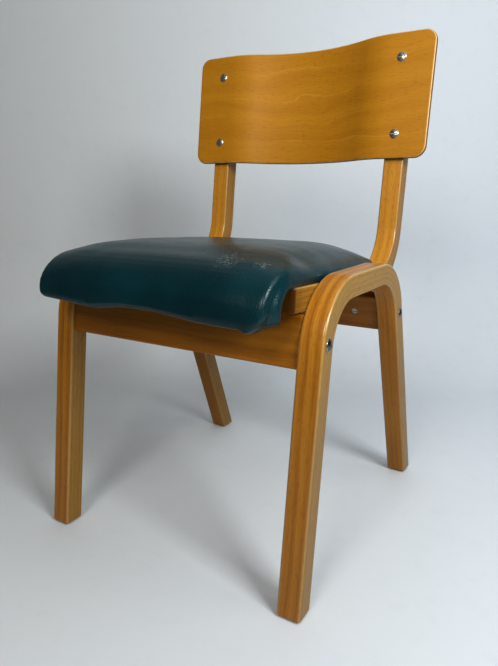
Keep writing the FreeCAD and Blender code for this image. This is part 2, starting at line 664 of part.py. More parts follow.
def board_blank():
    """The moulded plywood board before drilling, bent down at the front."""
    low = COVER_THICKNESS
    high = low + BOARD_THICKNESS
    lip_back = -BOARD_BEND_RADIUS
    lip_front = lip_back - BOARD_THICKNESS
    under = [side_point(2 * SEAT_DEPTH, low), side_point(lip_back, low), side_point(lip_back, LIP_HEIGHT)]
    over = [side_point(2 * SEAT_DEPTH, high), side_point(lip_front, high), side_point(lip_front, LIP_HEIGHT)]
    slab = bent_bar(under, [BOARD_BEND_RADIUS], over, [BOARD_BEND_RADIUS + BOARD_THICKNESS],
                    -SEAT_WIDTH, SEAT_WIDTH)
    return slab.common(seat_plan(0))


def seat_board():
    """The board, drilled for its tee nuts and pierced by the cover's staples."""
    drills = [staples()]
    for x, y in seat_bolt_places():
        flange_seat = COVER_THICKNESS + BOARD_THICKNESS - TEE_FLANGE_THICKNESS
        drills.append(rod(TEE_BARREL, 2 * BOARD_THICKNESS, FreeCAD.Vector(x, y, 0), AXIS_Z))
        drills.append(rod(TEE_FLANGE, BOARD_THICKNESS, FreeCAD.Vector(x, y, flange_seat), AXIS_Z))
    return drilled(board_blank(), drills)


def arc(start, middle, end):
    """The arc of a side profile through three (y, z) points."""
    return Part.Arc(side_point(*start), side_point(*middle), side_point(*end)).toShape()


def seat_core():
    """Side profile of board and foam together: what the cover is stretched over.

    From the back along the underside, round the board's bend to the nose, and over
    the crown. Its back end runs on past the seat's back edge, which is cut later.
    """
    low = COVER_THICKNESS
    shoulder_z, crown_z = crown_heights()
    past_back = 2 * SEAT_DEPTH
    nose_front = COVER_THICKNESS - SEAT_OVERHANG
    nose_back = -BOARD_BEND_RADIUS
    nose_bottom = LIP_HEIGHT - NOSE_FOAM_BELOW
    bend_end = (nose_back, low - BOARD_BEND_RADIUS)
    bend_middle = (nose_back * QUARTER, low - BOARD_BEND_RADIUS * (1 - QUARTER))
    front_shoulder = (nose_front + NOSE_ROUND_DEPTH, shoulder_z)
    back_shoulder = (SEAT_DEPTH - BORDER_WIDTH, shoulder_z)
    crown_middle = ((front_shoulder[0] + back_shoulder[0]) / 2, crown_z)
    back_run = SEAT_DEPTH + RUN_OUT
    edges = Part.makePolygon([side_point(back_run, EDGE_RUN_Z), side_point(past_back, EDGE_RUN_Z),
                              side_point(past_back, low), side_point(0, low)]).Edges
    edges += [arc((0, low), bend_middle, bend_end),
              Part.LineSegment(side_point(*bend_end), side_point(nose_back, LIP_HEIGHT)).toShape(),
              arc((nose_back, LIP_HEIGHT), ((nose_back + nose_front) / 2, nose_bottom), (nose_front, LIP_HEIGHT)),
              border_arc((nose_front, LIP_HEIGHT), front_shoulder),
              arc(front_shoulder, crown_middle, back_shoulder),
              border_arc((back_run, EDGE_RUN_Z), back_shoulder)]
    return Part.Face(Part.Wire(Part.__sortEdges__(edges)))


def crown_heights():
    """Heights of the crown's rounded border and of its middle, under the cover."""
    edge_top = SEAT_EDGE_THICKNESS - COVER_THICKNESS
    return edge_top + SEAT_CROWN * SHOULDER_SHARE, edge_top + SEAT_CROWN


def border_arc(edge, shoulder):
    """The arc from the seat's edge up to the crown's shoulder, steep at the edge."""
    middle = (shoulder[0] + (edge[0] - shoulder[0]) * QUARTER, edge[1] + (shoulder[1] - edge[1]) * QUARTER)
    return arc(edge, middle, shoulder)


def crown(grow):
    """The space under the seat's crown from side to side, raised by an amount."""
    shoulder_z, crown_z = crown_heights()
    edge = (SEAT_WIDTH / 2 + RUN_OUT, EDGE_RUN_Z)
    shoulder = (SEAT_WIDTH / 2 - BORDER_WIDTH, shoulder_z)
    floor = -2 * NOSE_DROP
    half_edges = [border_arc(edge, shoulder),
                  Part.LineSegment(side_point(*edge), side_point(edge[0], floor)).toShape()]
    edges = half_edges + [piece.mirror(FreeCAD.Vector(), AXIS_Y) for piece in half_edges]
    edges.append(arc(shoulder, (0, crown_z + CROWN_CLEAR), (-shoulder[0], shoulder_z)))
    edges.append(Part.LineSegment(side_point(edge[0], floor), side_point(-edge[0], floor)).toShape())
    space = Part.Face(Part.Wire(Part.__sortEdges__(edges))).extrude(AXIS_X * (4 * SEAT_DEPTH))
    space.rotate(FreeCAD.Vector(), AXIS_Z, 90)
    space.translate(FreeCAD.Vector(0, -2 * SEAT_DEPTH, grow))
    return space


def core_solid():
    """Board and foam together as one solid."""
    return seat_across(seat_core()).common(crown(0)).common(seat_plan(0))


def cover_opening():
    """The space inside the cover's flaps, where the board's underside shows."""
    half_width = SEAT_WIDTH / 2 - COVER_FLAP
    return Part.makeBox(2 * half_width, SEAT_DEPTH - 2 * COVER_FLAP, 2 * COVER_THICKNESS,
                        FreeCAD.Vector(-half_width, COVER_FLAP, -COVER_THICKNESS))


def seat_cover():
    """The cover: a thin skin over foam and board, turned in below, in the seat's frame."""
    outer_face = seat_core().makeOffset2D(COVER_THICKNESS)
    outer = seat_across(outer_face).common(crown(COVER_THICKNESS)).common(seat_plan(COVER_THICKNESS))
    skin = outer.cut(core_solid()).cut(cover_opening())
    drills = [staples()]
    for x, y in seat_bolt_places():
        drills.append(rod(BOLT_HOLE, 3 * COVER_THICKNESS, FreeCAD.Vector(x, y, -COVER_THICKNESS), AXIS_Z))
    return drilled(skin, drills)


def staple_row(start, step, count, along_x):
    """Staples at even steps, each a crown under the flap and two legs up in the board."""
    row = []
    half = STAPLE_CROWN / 2
    leg_top = COVER_THICKNESS + STAPLE_LEG
    for index in range(count):
        wire = Part.makeBox(STAPLE_CROWN, STAPLE_WIRE, leg_top + STAPLE_WIRE,
                            FreeCAD.Vector(-half, -STAPLE_WIRE / 2, -STAPLE_WIRE))
        gap = Part.makeBox(STAPLE_CROWN - 2 * STAPLE_WIRE, STAPLE_WIRE, leg_top,
                           FreeCAD.Vector(STAPLE_WIRE - half, -STAPLE_WIRE / 2, 0))
        staple = wire.cut(gap)
        if not along_x:
            staple.rotate(FreeCAD.Vector(), AXIS_Z, 90)
        staple.translate(start + step * index)
        row.append(staple)
    return row


def staples():
    """All the staples, in rows along the cover's four flaps."""
    edge_x = SEAT_WIDTH / 2 - COVER_FLAP + STAPLE_EDGE
    front_y = COVER_FLAP - STAPLE_EDGE
    back_y = SEAT_DEPTH - front_y
    across = int(2 * (edge_x - STAPLE_PITCH / 2) / STAPLE_PITCH)
    along = int((back_y - front_y - STAPLE_PITCH) / STAPLE_PITCH)
    rows = []
    for y in (front_y, back_y):
        start = FreeCAD.Vector(-across * STAPLE_PITCH / 2, y, 0)
        rows += staple_row(start, AXIS_X * STAPLE_PITCH, across + 1, True)
    first_y = (front_y + back_y - along * STAPLE_PITCH) / 2
    for x in (-edge_x, edge_x):
        rows += staple_row(FreeCAD.Vector(x, first_y, 0), AXIS_Y * STAPLE_PITCH, along + 1, False)
    return group(rows)


def seat_bolt_places(sides=(LEFT, RIGHT)):
    """The seat bolts' places in the seat's plan."""
    back_y = SEAT_DEPTH - SEAT_BOLT_BACK
    return [(side * POST_CENTRE_X, y) for side in sides for y in (SEAT_BOLT_FRONT, back_y)]


def seat_fixings():
    """Tee nuts, washers and bolts of the seat, each kind as one group in the seat's frame."""
    board_top = COVER_THICKNESS + BOARD_THICKNESS
    tees, washers, bolts = [], [], []
    for x, y in seat_bolt_places():
        board_under = FreeCAD.Vector(x, y, COVER_THICKNESS)
        flange = rod(TEE_FLANGE, TEE_FLANGE_THICKNESS, FreeCAD.Vector(x, y, board_top), -AXIS_Z)
        barrel = rod(TEE_BARREL, BOARD_THICKNESS - 1, board_under + AXIS_Z, AXIS_Z)
        thread = rod(BOLT_DIAMETER, 2 * BOARD_THICKNESS, board_under, AXIS_Z)
        tees.append(flange.fuse(barrel).removeSplitter().cut(thread))
        rail_under = FreeCAD.Vector(x, y, -POST_DEPTH)
        washers.append(put(washer(), rail_under, -AXIS_Z))
        head_seat = rail_under - AXIS_Z * WASHER_THICKNESS
        bolts.append(put(pan_bolt(WASHER_THICKNESS + POST_DEPTH + board_top - 1), head_seat, AXIS_Z))
    return [group(kind) for kind in (tees, washers, bolts)]


# ---- The whole chair ----------------------------------------------------------

def build():
    """Every node of the chair, named, with the front feet's front on y = 0."""
    nodes = {}
    leg = leg_frame()
    post = back_post()
    nodes["right_leg_frame"] = leg
    nodes["left_leg_frame"] = mirrored(leg)
    nodes["right_back_post"] = post
    nodes["left_back_post"] = mirrored(post)
    nodes["right_post_screws"] = post_screws(RIGHT)
    nodes["left_post_screws"] = post_screws(LEFT)
    rails = (("front", FRONT_RAIL_PLACE, FRONT_RAIL_HEIGHT, 1),
             ("rear", REAR_RAIL_PLACE, REAR_RAIL_HEIGHT, -1))
    for name, place, height, inner_side in rails:
        nodes[name + "_rail"] = placed_in(place, rail(height, inner_side))
        nodes[name + "_rail_bolts"] = placed_in(place, rail_bolts())
        nodes[name + "_barrel_nuts"] = placed_in(place, barrel_nuts(inner_side))
        nodes[name + "_rail_dowels"] = placed_in(place, rail_dowels(height))
    nodes["backrest_panel"] = backrest_panel()
    sleeves, washers, bolts = backrest_fixings()
    nodes["backrest_sleeve_nuts"] = sleeves
    nodes["backrest_washers"] = washers
    nodes["backrest_bolts"] = bolts
    tee_nuts, seat_washers, seat_bolts = seat_fixings()
    seat_pieces = {"seat_board": seat_board(), "seat_foam": core_solid().cut(board_blank()),
                   "seat_cover": seat_cover(), "cover_staples": staples(),
                   "seat_tee_nuts": tee_nuts, "seat_washers": seat_washers, "seat_bolts": seat_bolts}
    for name, shape in seat_pieces.items():
        nodes[name] = placed_in(SEAT_PLACEMENT, shape)
    nails = []
    for end, foot in zip(("front", "rear"), right_foot_points()):
        for side, side_name in ((LEFT, "left"), (RIGHT, "right")):
            place = FreeCAD.Vector(side * foot.x, foot.y, 0)
            nodes[end + "_" + side_name + "_glide"] = put(glide(), place, AXIS_Z)
            nails.append(put(glide_nail(), place, AXIS_Z))
    nodes["glide_nails"] = group(nails)
    return nodes


def centre_of_depth(nodes):
    """The middle of the chair from the seat's nose to the rear feet."""
    boxes = [nodes[name].optimalBoundingBox(False) for name in ("seat_cover", "right_leg_frame")]
    return (min(box.YMin for box in boxes) + max(box.YMax for box in boxes)) / 2


def main():
    """Build the chair, centre it over the origin and write one STEP file a node."""
    os.makedirs("parts", exist_ok=True)
    nodes = build()
    shift = AXIS_Y * -centre_of_depth(nodes)
    for name, shape in nodes.items():
        shape.translate(shift)
        shape.exportStep(os.path.join("parts", name + ".step"))


main()
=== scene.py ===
"""The looks of a stacking chair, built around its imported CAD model.

Bent-laminated leg frames and back posts, beech cross rails, a moulded plywood
backrest, an upholstered seat and their fixings. Metres, +Z up, the chair faces -Y.
"""

import logging
import math
from dataclasses import dataclass, field
from enum import Enum
from typing import Any, Callable, Sequence, Union

import bmesh
import bpy
import numpy as np
from mathutils import Matrix, Vector, noise


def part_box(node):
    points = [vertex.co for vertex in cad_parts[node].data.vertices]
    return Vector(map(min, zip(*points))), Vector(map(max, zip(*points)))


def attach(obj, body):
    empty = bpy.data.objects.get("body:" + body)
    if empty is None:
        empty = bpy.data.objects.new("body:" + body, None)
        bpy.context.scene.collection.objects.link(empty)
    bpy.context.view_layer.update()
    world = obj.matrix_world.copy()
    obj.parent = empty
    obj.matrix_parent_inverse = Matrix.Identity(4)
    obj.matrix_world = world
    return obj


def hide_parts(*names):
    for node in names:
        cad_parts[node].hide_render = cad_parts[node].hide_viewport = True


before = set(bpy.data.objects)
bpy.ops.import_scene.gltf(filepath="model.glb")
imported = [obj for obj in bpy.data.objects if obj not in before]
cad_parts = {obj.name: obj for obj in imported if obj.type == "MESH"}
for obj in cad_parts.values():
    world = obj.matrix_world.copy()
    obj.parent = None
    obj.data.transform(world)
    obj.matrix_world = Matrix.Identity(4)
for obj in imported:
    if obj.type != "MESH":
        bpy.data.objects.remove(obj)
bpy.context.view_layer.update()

LOG = logging.getLogger("chair")
MM = 0.001
SIDES = ("left", "right")
Colour = tuple[float, float, float]
Operand = Union["Wire", float]
Place = Callable[[float, float, float], Vector]
RIGHT_ANGLE = math.pi / 2
SQUARE_ENDS = 0.0
MIX_FACTOR, MIX_FIRST, MIX_SECOND, MIX_RESULT = 0, 6, 7, 2  # the Mix node's sockets for colours


# ---- Node graphs ----------------------------------------------------------------

@dataclass(frozen=True)
class Wire:
    """An output socket of a node graph; arithmetic on it adds Math nodes."""

    graph: "Graph"
    socket: bpy.types.NodeSocket

    def out(self, name: str) -> "Wire":
        """Another output of the same node, by name."""
        return Wire(self.graph, self.socket.node.outputs[name])

    def maths(self, operation: str, *operands: Operand) -> "Wire":
        """The result of a Math node on these operands."""
        return self.graph.add("ShaderNodeMath", {"operation": operation}, dict(enumerate(operands)))

    def __add__(self, other: Operand) -> "Wire":
        """Sum."""
        return self.maths("ADD", self, other)

    def __radd__(self, other: float) -> "Wire":
        """Sum, reflected."""
        return self.maths("ADD", other, self)

    def __sub__(self, other: Operand) -> "Wire":
        """Difference."""
        return self.maths("SUBTRACT", self, other)

    def __rsub__(self, other: float) -> "Wire":
        """Difference, reflected."""
        return self.maths("SUBTRACT", other, self)

    def __mul__(self, other: Operand) -> "Wire":
        """Product."""
        return self.maths("MULTIPLY", self, other)

    def __truediv__(self, other: Operand) -> "Wire":
        """Quotient."""
        return self.maths("DIVIDE", self, other)

    def __abs__(self) -> "Wire":
        """Absolute value."""
        return self.maths("ABSOLUTE", self)

    def floor(self) -> "Wire":
        """The whole part."""
        return self.maths("FLOOR", self)

    def fraction(self) -> "Wire":
        """The part after the point."""
        return self.maths("FRACT", self)

    def between(self, low: float, high: float) -> "Wire":
        """A smooth step across a range.

        Args:
            low: Where the step is 0.
            high: Where the step is 1; it may lie below low.

        Returns:
            The step's height, from 0 to 1.
        """
        upward = low < high
        ends = (low, high, 0.0, 1.0) if upward else (high, low, 1.0, 0.0)
        names = ("From Min", "From Max", "To Min", "To Max")
        return self.graph.add("ShaderNodeMapRange", {"interpolation_type": "SMOOTHSTEP"},
                              {"Value": self, **dict(zip(names, ends))})


class Graph:
    """A node tree with one method that adds any node."""

    def __init__(self, tree: bpy.types.NodeTree) -> None:
        """Start from an empty tree.

        Args:
            tree: The tree to fill.
        """
        self.tree = tree
        tree.nodes.clear()

    def add(self, kind: str, settings: dict[str, Any] | None = None,
            inputs: dict[Any, Any] | None = None, output: Any = 0) -> Wire:
        """Add a node.

        Args:
            kind: The node's type name.
            settings: The node's own properties; "stops" fills a colour ramp.
            inputs: Socket names or indices, with values or wires.
            output: Name or index of the output to return.

        Returns:
            The chosen output, or the node's first input if it has no output.
        """
        node = self.tree.nodes.new(kind)
        for name, value in (settings or {}).items():
            if name == "stops":
                self._fill_ramp(node.color_ramp, value)
            else:
                setattr(node, name, value)
        for name, value in (inputs or {}).items():
            if isinstance(value, Wire):
                self.tree.links.new(value.socket, node.inputs[name])
            else:
                node.inputs[name].default_value = value
        sockets = node.outputs if len(node.outputs) else node.inputs
        return Wire(self, sockets[output])

    @staticmethod
    def _fill_ramp(ramp: bpy.types.ColorRamp, stops: Sequence[tuple[float, Colour]]) -> None:
        """Set a colour ramp's stops.

        Args:
            ramp: The ramp, with the stops it is made with.
            stops: Positions and colours, in rising order.
        """
        while len(ramp.elements) < len(stops):
            ramp.elements.new(1.0)
        for element, (position, colour) in zip(ramp.elements, stops):
            element.position = position
            element.color = (*colour, 1.0)


class Shader(Graph):
    """A surface material, with the helpers that every finish draws on.

    In the finishes below, a number that multiplies a coordinate is a scale in repeats a
    metre, a between() pair is where a mark starts and where it is full, and the number
    after a mark is its strength.
    """

    def __init__(self, name: str) -> None:
        """Make the material and its empty node tree.

        Args:
            name: The material's name.
        """
        self.material = bpy.data.materials.new(name)
        self.material.use_nodes = True
        super().__init__(self.material.node_tree)

    def position(self) -> Wire:
        """Object coordinates."""
        return self.add("ShaderNodeTexCoord", output="Object")

    def attribute(self, name: str) -> Wire:
        """A number kept on the mesh's points."""
        return self.add("ShaderNodeAttribute", {"attribute_name": name}, output="Fac")

    def parts(self, vector: Wire) -> tuple[Wire, Wire, Wire]:
        """A vector's three numbers."""
        split = self.add("ShaderNodeSeparateXYZ", inputs={0: vector})
        return split, split.out("Y"), split.out("Z")

    def vector(self, x: Operand, y: Operand, z: Operand) -> Wire:
        """A vector from three numbers."""
        return self.add("ShaderNodeCombineXYZ", inputs={0: x, 1: y, 2: z})

    def noise(self, vector: Wire, scale: float = 1.0, detail: float = 2.0, rough: float = 0.5) -> Wire:
        """Soft noise from about 0 to 1."""
        return self.add("ShaderNodeTexNoise", {"noise_dimensions": "3D"},
                        {"Vector": vector, "Scale": scale, "Detail": detail, "Roughness": rough})

    def cells(self, vector: Wire, scale: float, feature: str = "F1") -> Wire:
        """Distance in a pattern of cells."""
        return self.add("ShaderNodeTexVoronoi", {"feature": feature}, {"Vector": vector, "Scale": scale},
                        "Distance")

    def chance(self, number: Operand) -> Wire:
        """The same random number from 0 to 1 for the same number."""
        return self.add("ShaderNodeTexWhiteNoise", {"noise_dimensions": "1D"}, {"W": number}, "Value")

    def mix(self, factor: Operand, first: Wire | Colour, second: Wire | Colour) -> Wire:
        """Two colours mixed: the first at 0, the second at 1."""
        start, end = (value if isinstance(value, Wire) else (*value, 1.0) for value in (first, second))
        return self.add("ShaderNodeMix", {"data_type": "RGBA"},
                        {MIX_FACTOR: factor, MIX_FIRST: start, MIX_SECOND: end}, MIX_RESULT)

    def ramp(self, factor: Wire, *stops: tuple[float, Colour]) -> Wire:
        """A colour read off a ramp."""
        return self.add("ShaderNodeValToRGB", {"stops": stops}, {0: factor})

    def bump(self, height: Wire, distance: float, strength: float = 1.0) -> Wire:
        """A normal from a height of 0 to 1, in metres at 1."""
        return self.add("ShaderNodeBump",
                        inputs={"Height": height, "Distance": distance, "Strength": strength})

    def surface(self, **sockets: Any) -> bpy.types.Material:
        """Close the material with a Principled BSDF.

        Args:
            sockets: Principled sockets, with underscores for spaces.

        Returns:
            The finished material.
        """
        inputs = {name.replace("_", " "): value for name, value in sockets.items()}
        shader = self.add("ShaderNodeBsdfPrincipled", inputs=inputs)
        self.add("ShaderNodeOutputMaterial", inputs={"Surface": shader})
        return self.material


class Recipe(Graph):
    """A Geometry Nodes tree with named inputs."""

    def __init__(self, name: str, inputs: dict[str, str]) -> None:
        """Make the tree and its inputs.

        Args:
            name: The tree's name.
            inputs: Names and socket types of its inputs, after the geometry.
        """
        super().__init__(bpy.data.node_groups.new(name, "GeometryNodeTree"))
        face = self.tree.interface
        face.new_socket("Geometry", in_out="INPUT", socket_type="NodeSocketGeometry")
        self.keys = {}
        for label, kind in inputs.items():
            self.keys[label] = face.new_socket(label, in_out="INPUT", socket_type=kind).identifier
        face.new_socket("Geometry", in_out="OUTPUT", socket_type="NodeSocketGeometry")
        self.start = self.add("NodeGroupInput")

    def close(self, geometry: Wire) -> None:
        """End the tree: realise instances and give the material.

        Args:
            geometry: The finished geometry.
        """
        real = self.add("GeometryNodeRealizeInstances", inputs={"Geometry": geometry})
        dressed = self.add("GeometryNodeSetMaterial",
                           inputs={"Geometry": real, "Material": self.start.out("Material")})
        self.add("NodeGroupOutput", inputs={0: dressed})

    def store(self, geometry: Wire, name: str, value: Wire, kind: str = "FLOAT") -> Wire:
        """Keep a value on the geometry's points."""
        return self.add("GeometryNodeStoreNamedAttribute", {"data_type": kind, "domain": "POINT"},
                        {"Geometry": geometry, "Name": name, "Value": value})

    def bake(self, name: str, guide: bpy.types.Mesh, values: dict[str, Any]) -> bpy.types.Object:
        """Run the tree on a guide.

        Args:
            name: The piece's name.
            guide: The mesh that the tree starts from.
            values: The tree's inputs by name.

        Returns:
            The result, as a plain mesh object.
        """
        holder = new_object(name + "_guide", guide)
        modifier = holder.modifiers.new(name, "NODES")
        modifier.node_group = self.tree
        for label, value in values.items():
            modifier[self.keys[label]] = value
        return settled(holder, name)


# ---- Mesh helpers ---------------------------------------------------------------

LARGE_FACES_ONLY = 100
MERGE_DISTANCE = 1e-6
FLAT_WITHIN_DEGREES = 0.5


def new_object(name: str, mesh: bpy.types.Mesh) -> bpy.types.Object:
    """Put a mesh in the scene, at the origin.

    Args:
        name: The object's name.
        mesh: Its mesh.

    Returns:
        The new object.
    """
    piece = bpy.data.objects.new(name, mesh)
    bpy.context.scene.collection.objects.link(piece)
    return piece


def settled(piece: bpy.types.Object, name: str) -> bpy.types.Object:
    """Apply a piece's modifiers.

    Args:
        piece: The object, which is removed.
        name: The name of the object that takes its place.

    Returns:
        A plain mesh object of the result.
    """
    bpy.context.view_layer.update()
    evaluated = piece.evaluated_get(bpy.context.evaluated_depsgraph_get())
    mesh = bpy.data.meshes.new_from_object(evaluated)
    bpy.data.objects.remove(piece)
    mesh.name = name
    return new_object(name, mesh)


def eased(piece: bpy.types.Object, width: float, segments: int = 2, angle: float = 35.0) -> bpy.types.Object:
    """Round a piece's sharp edges and keep its flats flat in shading.

    Args:
        piece: The object, which is replaced.
        width: How far from the edge the rounding starts.
        segments: Steps in the rounding.
        angle: The least turn, in degrees, that counts as an edge.

    Returns:
        The rounded piece.
    """
    bevel = piece.modifiers.new("ease", "BEVEL")
    bevel.width = width
    bevel.segments = segments
    bevel.limit_method = "ANGLE"
    bevel.angle_limit = math.radians(angle)
    bevel.use_clamp_overlap = True
    return evenly_shaded(piece)


def evenly_shaded(piece: bpy.types.Object) -> bpy.types.Object:
    """Shade a piece smooth, with its normals weighted towards its large faces.

    Args:
        piece: The object, which is replaced.

    Returns:
        The shaded piece.
    """
    for polygon in piece.data.polygons:
        polygon.use_smooth = True
    weighted = piece.modifiers.new("weighted", "WEIGHTED_NORMAL")
    weighted.weight = LARGE_FACES_ONLY
    weighted.keep_sharp = True
    return settled(piece, piece.name)


def copy_of_node(node: str, name: str) -> bpy.types.Object:
    """Copy a CAD node, with its points merged and its flat faces made whole.

    Args:
        node: The CAD node's name.
        name: The copy's name.

    Returns:
        The copy, without materials.
    """
    piece = new_object(name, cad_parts[node].data.copy())
    piece.data.materials.clear()
    cleaned = bmesh.new()
    cleaned.from_mesh(piece.data)
    bmesh.ops.remove_doubles(cleaned, verts=cleaned.verts, dist=MERGE_DISTANCE)
    bmesh.ops.dissolve_limit(cleaned, angle_limit=math.radians(FLAT_WITHIN_DEGREES),
                             verts=cleaned.verts, edges=cleaned.edges)
    cleaned.to_mesh(piece.data)
    cleaned.free()
    if piece.data.has_custom_normals:
        with bpy.context.temp_override(object=piece, active_object=piece):
            bpy.ops.mesh.customdata_custom_splitnormals_clear()
    return piece


def mesh_from(points: np.ndarray, faces: list[tuple[int, ...]], name: str,
              numbers: dict[str, np.ndarray] | None = None) -> bpy.types.Mesh:
    """Make a mesh with outward normals.

    Args:
        points: Its points, a row each.
        faces: Its faces, as indices of points.
        name: The mesh's name.
        numbers: Named numbers to keep on the points.

    Returns:
        The mesh.
    """
    mesh = bpy.data.meshes.new(name)
    mesh.from_pydata([tuple(point) for point in points], [], faces)
    shape = bmesh.new()
    shape.from_mesh(mesh)
    bmesh.ops.recalc_face_normals(shape, faces=shape.faces)
    shape.to_mesh(mesh)
    shape.free()
    for label, values in (numbers or {}).items():
        mesh.attributes.new(label, "FLOAT", "POINT").data.foreach_set("value", values.astype(np.float32))
    return mesh


def points_of(mesh: bpy.types.Mesh) -> np.ndarray:
    """A mesh's points, a row each."""
    return np.array([vertex.co for vertex in mesh.vertices])


def move_points(mesh: bpy.types.Mesh, points: np.ndarray) -> None:
    """Set a mesh's points."""
    mesh.vertices.foreach_set("co", points.astype(np.float32).ravel())


def smooth_step(value: float, low: float, high: float) -> float:
    """A smooth step from 0 at low to 1 at high."""
    share = min(max((value - low) / (high - low), 0.0), 1.0)
    return share * share * (3 - 2 * share)


@dataclass
class RoundedSlab:
    """A slab with round corners, drawn flat and laid through a mapping.

    Its plan runs across (x) and along (from 0 to length); heights are over its
    underside. A rim is a list of (inset, height) rings from the top face's edge
    down to the underside's edge.
    """

    width: float
    length: float
    start_radius: float
    end_radius: float
    rim: Sequence[tuple[float, float]]
    columns: int = 40
    rows: int = 30
    corner_steps: int = 7

    def _column_places(self, inset: float) -> list[float]:
        """Space the grid's columns, closer in the round corners.

        Args:
            inset: How far the outline is drawn in.

        Returns:
            The columns' distances from the middle line, left to right.
        """
        half = self.width / 2 - inset
        radius = max(self.start_radius, self.end_radius) - inset
        corner = [half - radius * (1 - math.cos(RIGHT_ANGLE * step / self.corner_steps))
                  for step in range(self.corner_steps)]
        inner = half - radius
        middle = [inner - 2 * inner * step / self.columns for step in range(self.columns + 1)]
        return [-x for x in corner] + [-x for x in middle] + corner[::-1]

    def _end(self, x: float, inset: float, radius: float) -> float:
        """Find how far the outline's end is drawn in.

        Args:
            x: The place across.
            inset: How far the whole outline is drawn in.
            radius: The corner's radius before the inset.

        Returns:
            The distance from the slab's end.
        """
        radius -= inset
        from_side = self.width / 2 - inset - abs(x)
        if from_side >= radius:
            return inset
        return inset + radius - math.sqrt(max(radius ** 2 - (radius - from_side) ** 2, 0.0))

    def ring_grid(self, inset: float) -> np.ndarray:
        """Lay a grid inside the outline.

        Args:
            inset: How far the outline is drawn in.

        Returns:
            An array of (across, along) places by column and row.
        """
        grid = []
        for x in self._column_places(inset):
            low = self._end(x, inset, self.start_radius)
            high = self.length - self._end(x, inset, self.end_radius)
            grid.append([(x, low + (high - low) * row / self.rows) for row in range(self.rows + 1)])
        return np.array(grid)

    def mesh(self, name: str, place: Place, rise: Callable[[float, float], float]) -> bpy.types.Mesh:
        """Build the slab.

        Args:
            name: The mesh's name.
            place: Turns (across, along, height) into a point.
            rise: Extra height of the slab's top over a place, given (across, along).

        Returns:
            The closed mesh, with attributes across, along and height.
        """
        flat, faces = [], []
        grid = self.ring_grid(self.rim[0][0])
        n_columns, n_rows = grid.shape[:2]
        top = self.rim[0][1]
        bottom = self.rim[-1][1]

        def face_grid(cells: np.ndarray, height: float, lifted: bool) -> np.ndarray:
            """Add a face's points.

            Args:
                cells: The grid of places.
                height: Their height.
                lifted: Whether the rise is added.

            Returns:
                The points' indices, in the grid's shape.
            """
            start = len(flat)
            for x, along in cells.reshape(-1, 2):
                flat.append((x, along, height + (rise(x, along) if lifted else 0.0)))
            return np.arange(start, len(flat)).reshape(cells.shape[:2])

        def loop_of(index: np.ndarray) -> list[int]:
            """The indices round a grid's border, in order."""
            return [*index[:, 0], *index[-1, 1:], *index[-2::-1, -1], *index[0, -2:0:-1]]

        upper = face_grid(grid, top, True)
        loops = [loop_of(upper)]
        for inset, height in self.rim[1:-1]:
            ring = self.ring_grid(inset)
            index = np.arange(n_columns * n_rows).reshape(n_columns, n_rows)
            share = (height - bottom) / (top - bottom)
            start = len(flat)
            for place_index in loop_of(index):
                x, along = ring.reshape(-1, 2)[place_index]
                flat.append((x, along, height + share * rise(x, along)))
            loops.append(list(range(start, len(flat))))
        lower = face_grid(self.ring_grid(self.rim[-1][0]), bottom, False)
        loops.append(loop_of(lower))
        for index in (upper, lower):
            for i in range(n_columns - 1):
                for j in range(n_rows - 1):
                    faces.append((index[i, j], index[i + 1, j], index[i + 1, j + 1], index[i, j + 1]))
        for first, second in zip(loops, loops[1:]):
            count = len(first)
            for k in range(count):
                after = (k + 1) % count
                faces.append((first[k], first[after], second[after], second[k]))
        numbers = np.array(flat)
        points = np.array([place(*row) for row in flat])
        labels = {"across": numbers[:, 0], "along": numbers[:, 1], "height": numbers[:, 2]}
        return mesh_from(points, [tuple(int(v) for v in face) for face in faces], name, labels)


def rounded_rim(thickness: float, top_round: float, bottom_round: float,
                steps: int = 5) -> list[tuple[float, float]]:
    """Round a slab's edge above and below.

    Args:
        thickness: The slab's thickness.
        top_round: The upper radius.
        bottom_round: The lower radius.
        steps: Steps in each rounding.

    Returns:
        (inset, height) rings, top to bottom.
    """
    rings = []
    for step in range(steps + 1):
        angle = RIGHT_ANGLE * step / steps
        rings.append((top_round * (1 - math.sin(angle)), thickness - top_round * (1 - math.cos(angle))))
    for step in range(steps + 1):
        angle = RIGHT_ANGLE * step / steps
        rings.append((bottom_round * (1 - math.cos(angle)), bottom_round * (1 - math.sin(angle))))
    return rings


# ---- Finishes -------------------------------------------------------------------

def shaded(colour: Colour, share: float) -> Colour:
    """A colour with its brightness multiplied."""
    return tuple(channel * share for channel in colour)


@dataclass(frozen=True)
class Lacquer:
    """The clear coat on all the show wood."""

    roughness: float = 0.46
    coat: float = 0.24
    coat_roughness: float = 0.20
    specular: float = 0.25


